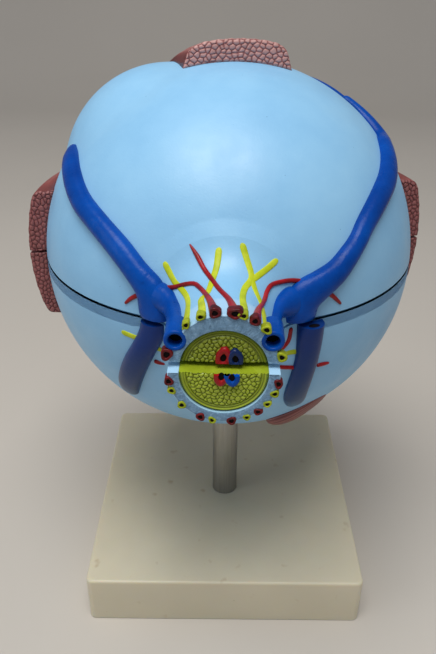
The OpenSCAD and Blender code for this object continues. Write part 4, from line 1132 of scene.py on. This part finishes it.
def trim(obj, side):
    """Keeps what lies above (1) or below (-1) the seam of a piece that is in place, and closes the cut."""
    at = (SEAM_HEIGHT + side * (SEAM_GAP / 2 + 0.05)) * MM
    with edited(obj) as work:
        bmesh.ops.bisect_plane(work, geom=work.verts[:] + work.edges[:] + work.faces[:], dist=1e-7,
                               plane_co=(0, 0, at), plane_no=(0, 0, side), clear_inner=True)
        bmesh.ops.holes_fill(work, edges=[e for e in work.edges if e.is_boundary], sides=0)


def bulge_floor(x, y):
    """Height of the tendon's bulge over points of the eye's frame."""
    c = turn(BULGE_CENTRE, NERVE_TURN)
    q = BULGE_R**2 - (x - c[0]) ** 2 - (y - c[1]) ** 2
    return np.where(q > 0, c[2] + np.sqrt(np.maximum(q, 0)), 0)


def make_muscles():
    add_muscle("superior_rectus_stump", 31, 0, "globe_upper", "superior_rectus", off=2.0, floor=bulge_floor,
               thick_at_cut=7.5)
    add_muscle("inferior_rectus_stump", 32, 180, "globe_lower", "inferior_rectus", cut_y=15.0)
    for half in ("upper", "lower"):
        for side, seed, degrees, up in (("medial", 33, -90, 1), ("lateral", 34, 90, -1)):
            add_muscle(f"{side}_rectus_{half}_stump", seed, degrees, f"globe_{half}", f"{side}_rectus_{half}",
                       keep=half, cut_paint=MUSCLE_SIDE_CUT, off=up * SEAM_Z / 2, cut_half=SIDE_MUSCLE_HALF,
                       power=14.0, taper=0.03)
    steps = 60
    oblique = sweep([[41, -37.5, 4.5, 0.4], [36.5, -43, 6.8, 1.9], [30.5, -48, 7.6, 3.2], [22, -53, 7, 3.4]],
                    steps=steps, fullness=0.8)
    obj = add_piece("inferior_oblique_muscle", oblique, from_nerve, MUSCLE_SIDE, "globe_lower",
                    "inferior_oblique", sharp=60)
    across = np.concatenate([np.linspace(-1, 1, steps), [0, 0]])
    uu, ss = np.meshgrid(across, np.linspace(0, 1, len(oblique[0]) // len(across)), indexing="xy")
    set_values(obj, "streak", strands(uu, ss, np.random.default_rng(36)).ravel())


# ---------------------------------------------------------------- window
WINDOW_DEPTH = 1.7
WINDOW_VEINS = [
    [[83.5, 36.5, 2.6, 2.6], [89, 43, 2.8, 2.8], [93.5, 50, 2.7, 2.8], [98.5, 57.5, 2.3, 2.6],
     [104, 64.5, 1.6, 1.8]],
    [[91, 40, 1.8, 1.6], [100, 38, 1.7, 1.5], [108, 34.5, 1.4, 1.3], [117, 31.5, 1, 1]],
    [[95, 51.5, 1.8, 1.6], [107, 49, 1.7, 1.5], [117, 46, 1.4, 1.3], [129, 42, 1, 1]],
]
WINDOW_ARTERY = [[[93, 46.2, 1.2, 1.2], [102.5, 44.5, 1.1, 1.1], [113, 40.5, 0.9, 0.9], [125, 36, 0.7, 0.7]]]
WINDOW_NERVE = [[[99, 58.5, 1.3, 1.2], [110, 55, 1.1, 1], [120, 51, 0.9, 0.8], [131, 47, 0.7, 0.7]]]


def window_r(dirs):
    return np.full(dirs.shape[:-1], GLOBE_R - WINDOW_DEPTH)


def make_window():
    inner = carved(ball(GLOBE_R - WINDOW_DEPTH, 260), window_prism(-0.003), operation="INTERSECT")
    add_piece("choroid_patch", carved(inner, ball(SCLERA_IN_R)), from_eye, CHOROID, "globe_upper",
              "choroid_window", sharp=40)
    for name, node, routes, paint, slot in (
            ("vein", "window_veins", WINDOW_VEINS, VEIN_BLUE, "vein_paint"),
            ("artery", "window_artery", WINDOW_ARTERY, ARTERY_RED, "artery_paint"),
            ("nerve", "window_nerve", WINDOW_NERVE, NERVE_YELLOW, "nerve_paint")):
        vessels = joined([sweep(route, window_r) for route in routes])
        add_piece(f"window_{name}_relief", vessels, from_eye, paint, "globe_upper", node, sharp=60)


# ---------------------------------------------------------------- inside
CUP_GAP = 0.16
CHOROID_IN_R = 62.7
IRIS_BACK_Y, IRIS_FRONT_Y = 54.0, 57.0
PUPIL_R, IRIS_R = 10.0, 31.2
CILIARY_BACK_Y, CILIARY_R = 42.5, 28.05
DISC = toward(-8.0, 2.8)
MACULA = toward(7.0, -1.0)
RETINA_ARCS = [
    [[-8, 2.8], [-5, 12], [6, 23], [24, 29], [46, 31], [66, 29]],
    [[-8, 2.8], [-5, -7], [6, -19], [24, -27], [46, -30], [66, -29]],
    [[-8, 2.8], [-14, 11], [-28, 20], [-48, 26], [-70, 28]],
    [[-8, 2.8], [-14, -6], [-28, -16], [-48, -23], [-70, -26]],
    [[6, 23], [12, 34], [14, 48], [8, 62]],
    [[6, -19], [12, -31], [14, -46], [8, -60]],
    [[-28, 20], [-34, 34], [-38, 50]],
    [[-28, -16], [-34, -32], [-38, -48]],
]


def half_ring(section, upper, count):
    """Half a ring about the line of sight, from its closed outline of [radius, forward] at each angle."""
    start = 0.05 if upper else 180.05
    a = np.radians(np.linspace(start, start + 179.9, count))
    outline = np.stack([section(t) for t in a])
    r, y, a = outline[..., 0], outline[..., 1], a[:, None]
    return stack(np.stack([r * np.cos(a), y, off_the_cut(r * np.sin(a), upper)], -1))


def off_the_cut(z, upper):
    """Keeps heights on their own side of the cut between the two cups."""
    return np.maximum(z, CUP_GAP) if upper else np.minimum(z, -CUP_GAP)


def iris_folds(r, t):
    """Height of the iris's radial folds, with a raised frill round the pupil."""
    out = (r - PUPIL_R) / (IRIS_R - PUPIL_R)
    drift = 0.5 * np.sin(5 * t + 4 * out)
    folds = 0.5 + 0.25 * np.sin(84 * t + 5 * drift) + 0.25 * np.sin(131 * t - 7 * drift + 3)
    frill = np.exp(-((out - 0.24 - 0.015 * np.sin(23 * t)) / 0.05) ** 2)
    return np.clip(0.75 * folds * (1 - 0.5 * frill) + 0.35 * frill, 0, 1)


def iris_section(t):
    """The iris's outline at an angle, with its folds in front and a flat back."""
    low, high, back = PUPIL_R + 0.02, IRIS_R - 0.02, IRIS_BACK_Y + 0.02
    r = np.linspace(low, high, 44)
    rim = np.clip(np.minimum(r - PUPIL_R, IRIS_R - r) / 1.0, 0, 1)
    y = IRIS_FRONT_Y - 1.0 + np.sqrt(rim) * (0.3 + 0.68 * iris_folds(r, t))
    return np.concatenate([np.column_stack([r, y]), [[high, back], [low, back]]])


def ciliary_section(t):
    """The ciliary body's outline: pleats toward the lens, and the cup's curve behind."""
    depth = np.linspace(0, 1, 9)
    pleat = 0.5 + 0.5 * np.cos(70 * t)
    y = CILIARY_BACK_Y + (IRIS_BACK_Y - 0.02 - CILIARY_BACK_Y) * depth
    inner = np.column_stack([CILIARY_R + 2.2 * pleat * np.sin(np.pi * (0.15 + 0.7 * depth)), y])
    outer = np.column_stack([np.sqrt((CHOROID_IN_R - 0.05) ** 2 - y**2), y])
    return np.concatenate([inner, outer[::-1]])


def retina_values(dirs):
    """How much of a vessel, of the optic disc and of the macula each direction shows."""
    vessel = np.zeros(len(dirs))
    for k, arc in enumerate(RETINA_ARCS):
        for shift, strength in ((0.0, 0.75), (2.6, 1.0)):
            away = shift * np.minimum(np.arange(len(arc)), 1)
            route = np.array(arc, float) + np.column_stack([away, away * 0.6])
            line = unit(spline_through(toward(route[:, 0], route[:, 1]), 14))
            width = np.linspace(0.016, 0.006, len(line)) * (1.0 if k < 4 else 0.6)
            off = np.arccos(np.clip(dirs @ line.T, -1, 1)) / width
            vessel = np.maximum(vessel, strength * np.clip(1.6 - off.min(axis=1), 0, 1))
    disc = np.clip(1.25 - np.arccos(np.clip(dirs @ DISC, -1, 1)) / 0.1, 0, 0.25) * 4
    macula = np.clip(1.4 - np.arccos(np.clip(dirs @ MACULA, -1, 1)) / 0.11, 0, 1)
    return vessel * (1 - 0.6 * disc), disc, macula


def retina_lining(upper):
    """A thin lining of a cup, with relief where vessels run, and its three patterns."""
    a = np.radians(np.linspace(0.05, 179.95, 300) + (0 if upper else 180))
    tilt = np.radians(np.linspace(31.2, 179.6, 240))
    tt, aa = np.meshgrid(tilt, a, indexing="ij")
    dirs = np.stack([np.sin(tt) * np.cos(aa), np.cos(tt), np.sin(tt) * np.sin(aa)], -1)
    vessel, disc, macula = retina_values(dirs.reshape(-1, 3))
    reach = (CHOROID_IN_R - 0.1 - 0.1 * vessel + 0.06 * macula).reshape(tt.shape)
    points, faces = sheet(dirs * reach[..., None], dirs * (CHOROID_IN_R - 0.01))
    points[:, 2] = off_the_cut(points[:, 2], upper)
    patterns = {"vessel": vessel, "disc": disc, "macula": macula}
    return (points, faces), {name: np.tile(values, 2) for name, values in patterns.items()}


def iris_material():
    """Hazel-brown iris: dark furrows and amber ridges."""
    paint = Paint("iris_brown", 0.35, 0.2)
    tone = paint.ramp(paint.attribute("cobble"), (0.1, (58, 34, 18)), (0.5, (122, 78, 40)),
                      (0.9, (176, 126, 66)))
    paint.colour(paint.blotched(0.6, tone, 140, (190, 180, 160), start=0.35))
    return paint.material


def retina_material():
    """Orange-red retina with darker vessels, the yellow optic disc and the brown macula."""
    paint = Paint("retina_orange", 0.4, 0.1)
    tone = paint.ramp(paint.noise(60, 4), (0.3, (206, 104, 62)), (0.7, (224, 130, 82)))
    for pattern, colour in (("macula", (140, 62, 36)), ("disc", (240, 206, 120)), ("vessel", (128, 16, 22))):
        tone = paint.mix(paint.attribute(pattern), tone, srgb(*colour))
    paint.colour(tone)
    return paint.material


def outward(obj):
    """Turns all faces of a piece outward."""
    with edited(obj) as work:
        bmesh.ops.recalc_face_normals(work, faces=work.faces)


def make_inside():
    iris_paint, retina_paint = iris_material(), retina_material()
    ciliary_paint = painted("ciliary_brown", (74, 46, 36), (52, 30, 24), (98, 64, 50), 0.45, blotch=160)
    for half, upper in (("upper", True), ("lower", False)):
        body = f"cup_{half}"
        ring = half_ring(iris_section, upper, 700)
        iris = add_piece(f"iris_{half}_folds", ring, from_eye, iris_paint, body,
                         f"iris_{half}", sharp=60)
        p = ring[0]
        set_values(iris, "cobble", iris_folds(np.hypot(p[:, 0], p[:, 2]), np.arctan2(p[:, 2], p[:, 0])))
        pleats = half_ring(ciliary_section, upper, 560)
        ciliary = add_piece(f"ciliary_{half}_pleats", pleats, from_eye, ciliary_paint, body,
                            f"ciliary_body_{half}", sharp=60)
        lining, patterns = retina_lining(upper)
        retina = add_piece(f"retina_{half}", lining, from_eye, retina_paint, body, sharp=70)
        for name, values in patterns.items():
            set_values(retina, name, values)
        for obj in (iris, ciliary, retina):
            outward(obj)
    dress(CHOROID, "choroid_upper", "choroid_lower")
    dress(CLEAR, "vitreous_front", "vitreous_rear", "cornea")
    dress(LENS_CLEAR, "lens")


# ---------------------------------------------------------------- stage, light and camera
def make_stage():
    """Pale paper that lies under the model and curves up behind it, in metres."""
    paint = Paint("floor_paper", 0.85)
    paint.colour(paint.ramp(paint.noise(3, 2), (0.3, (194, 188, 179)), (0.7, (198, 192, 183))))
    bend_y, bend_r, half_width = 1.0, 0.6, 3.0
    bend = [(bend_y + bend_r * math.sin(t), bend_r - bend_r * math.cos(t))
            for t in np.linspace(0.1, math.pi / 2, 14)]
    curve = [(-1.6, 0.0), (bend_y, 0.0), *bend, (bend_y + bend_r, 3.0)]
    points = [(x, y, z) for y, z in curve for x in (-half_width, half_width)]
    backdrop = add_mesh("backdrop", points, grid_faces(len(curve), 2))
    backdrop.data.materials.append(paint.material)
    backdrop.data.shade_smooth()


def add_lamp(name, at, aim, size, power, tint):
    """A rectangular lamp that points from one place, in metres, to another."""
    data = bpy.data.lights.new(name, "AREA")
    data.shape, data.size, data.size_y, data.energy, data.color = "RECTANGLE", size[0], size[1], power, tint
    lamp = bpy.data.objects.new(name, data)
    back = -unit(np.array(aim, float) - np.array(at, float))
    right = unit(np.cross([0, 0, 1], back))
    lamp.rotation_euler = Matrix(np.column_stack([right, np.cross(back, right), back]).tolist()).to_euler()
    lamp.location = at
    bpy.context.scene.collection.objects.link(lamp)


def make_light():
    scene = bpy.context.scene
    scene.view_settings.view_transform = "Standard"
    world = bpy.data.worlds.new("soft_world")
    world.use_nodes = True
    background = world.node_tree.nodes["Background"].inputs
    background["Color"].default_value = (0.86, 0.9, 1.0, 1)
    background["Strength"].default_value = 0.27
    scene.world = world
    add_lamp("key_light", (-0.1, -0.34, 1.25), (0, 0, 0.15), (0.8, 0.6), 13.0, (1.0, 0.98, 0.95))
    add_lamp("left_light", (-1.3, -0.6, 0.7), (0, 0, 0.12), (0.7, 0.9), 2.4, (0.94, 0.97, 1.0))


def make_camera():
    """The camera, from the lens, tilt and place that fit the base's corners and the globe's outline."""
    data = bpy.data.cameras.new("camera")
    data.sensor_width, data.lens = 36.0, 36.54
    data.clip_start, data.clip_end = 0.01, 20
    camera = bpy.data.objects.new("camera", data)
    yaw, tilt, roll = 0.2301, 29.712, 0.3799
    turns = ((yaw, "Z"), (90 - tilt, "X"), (roll, "Z"))
    matrix = Matrix.Translation((-0.0028, -0.2531, 0.2608))
    for degrees, axis in turns:
        matrix = matrix @ Matrix.Rotation(math.radians(degrees), 4, axis)
    camera.matrix_world = matrix
    bpy.context.scene.collection.objects.link(camera)
    bpy.context.scene.camera = camera


make_stage()
make_light()
make_camera()
make_stand()
make_sclera()
make_veins()
make_small_vessels()
make_nerve()
make_muscles()
make_window()
make_inside()

bpy.context.view_layer.update()
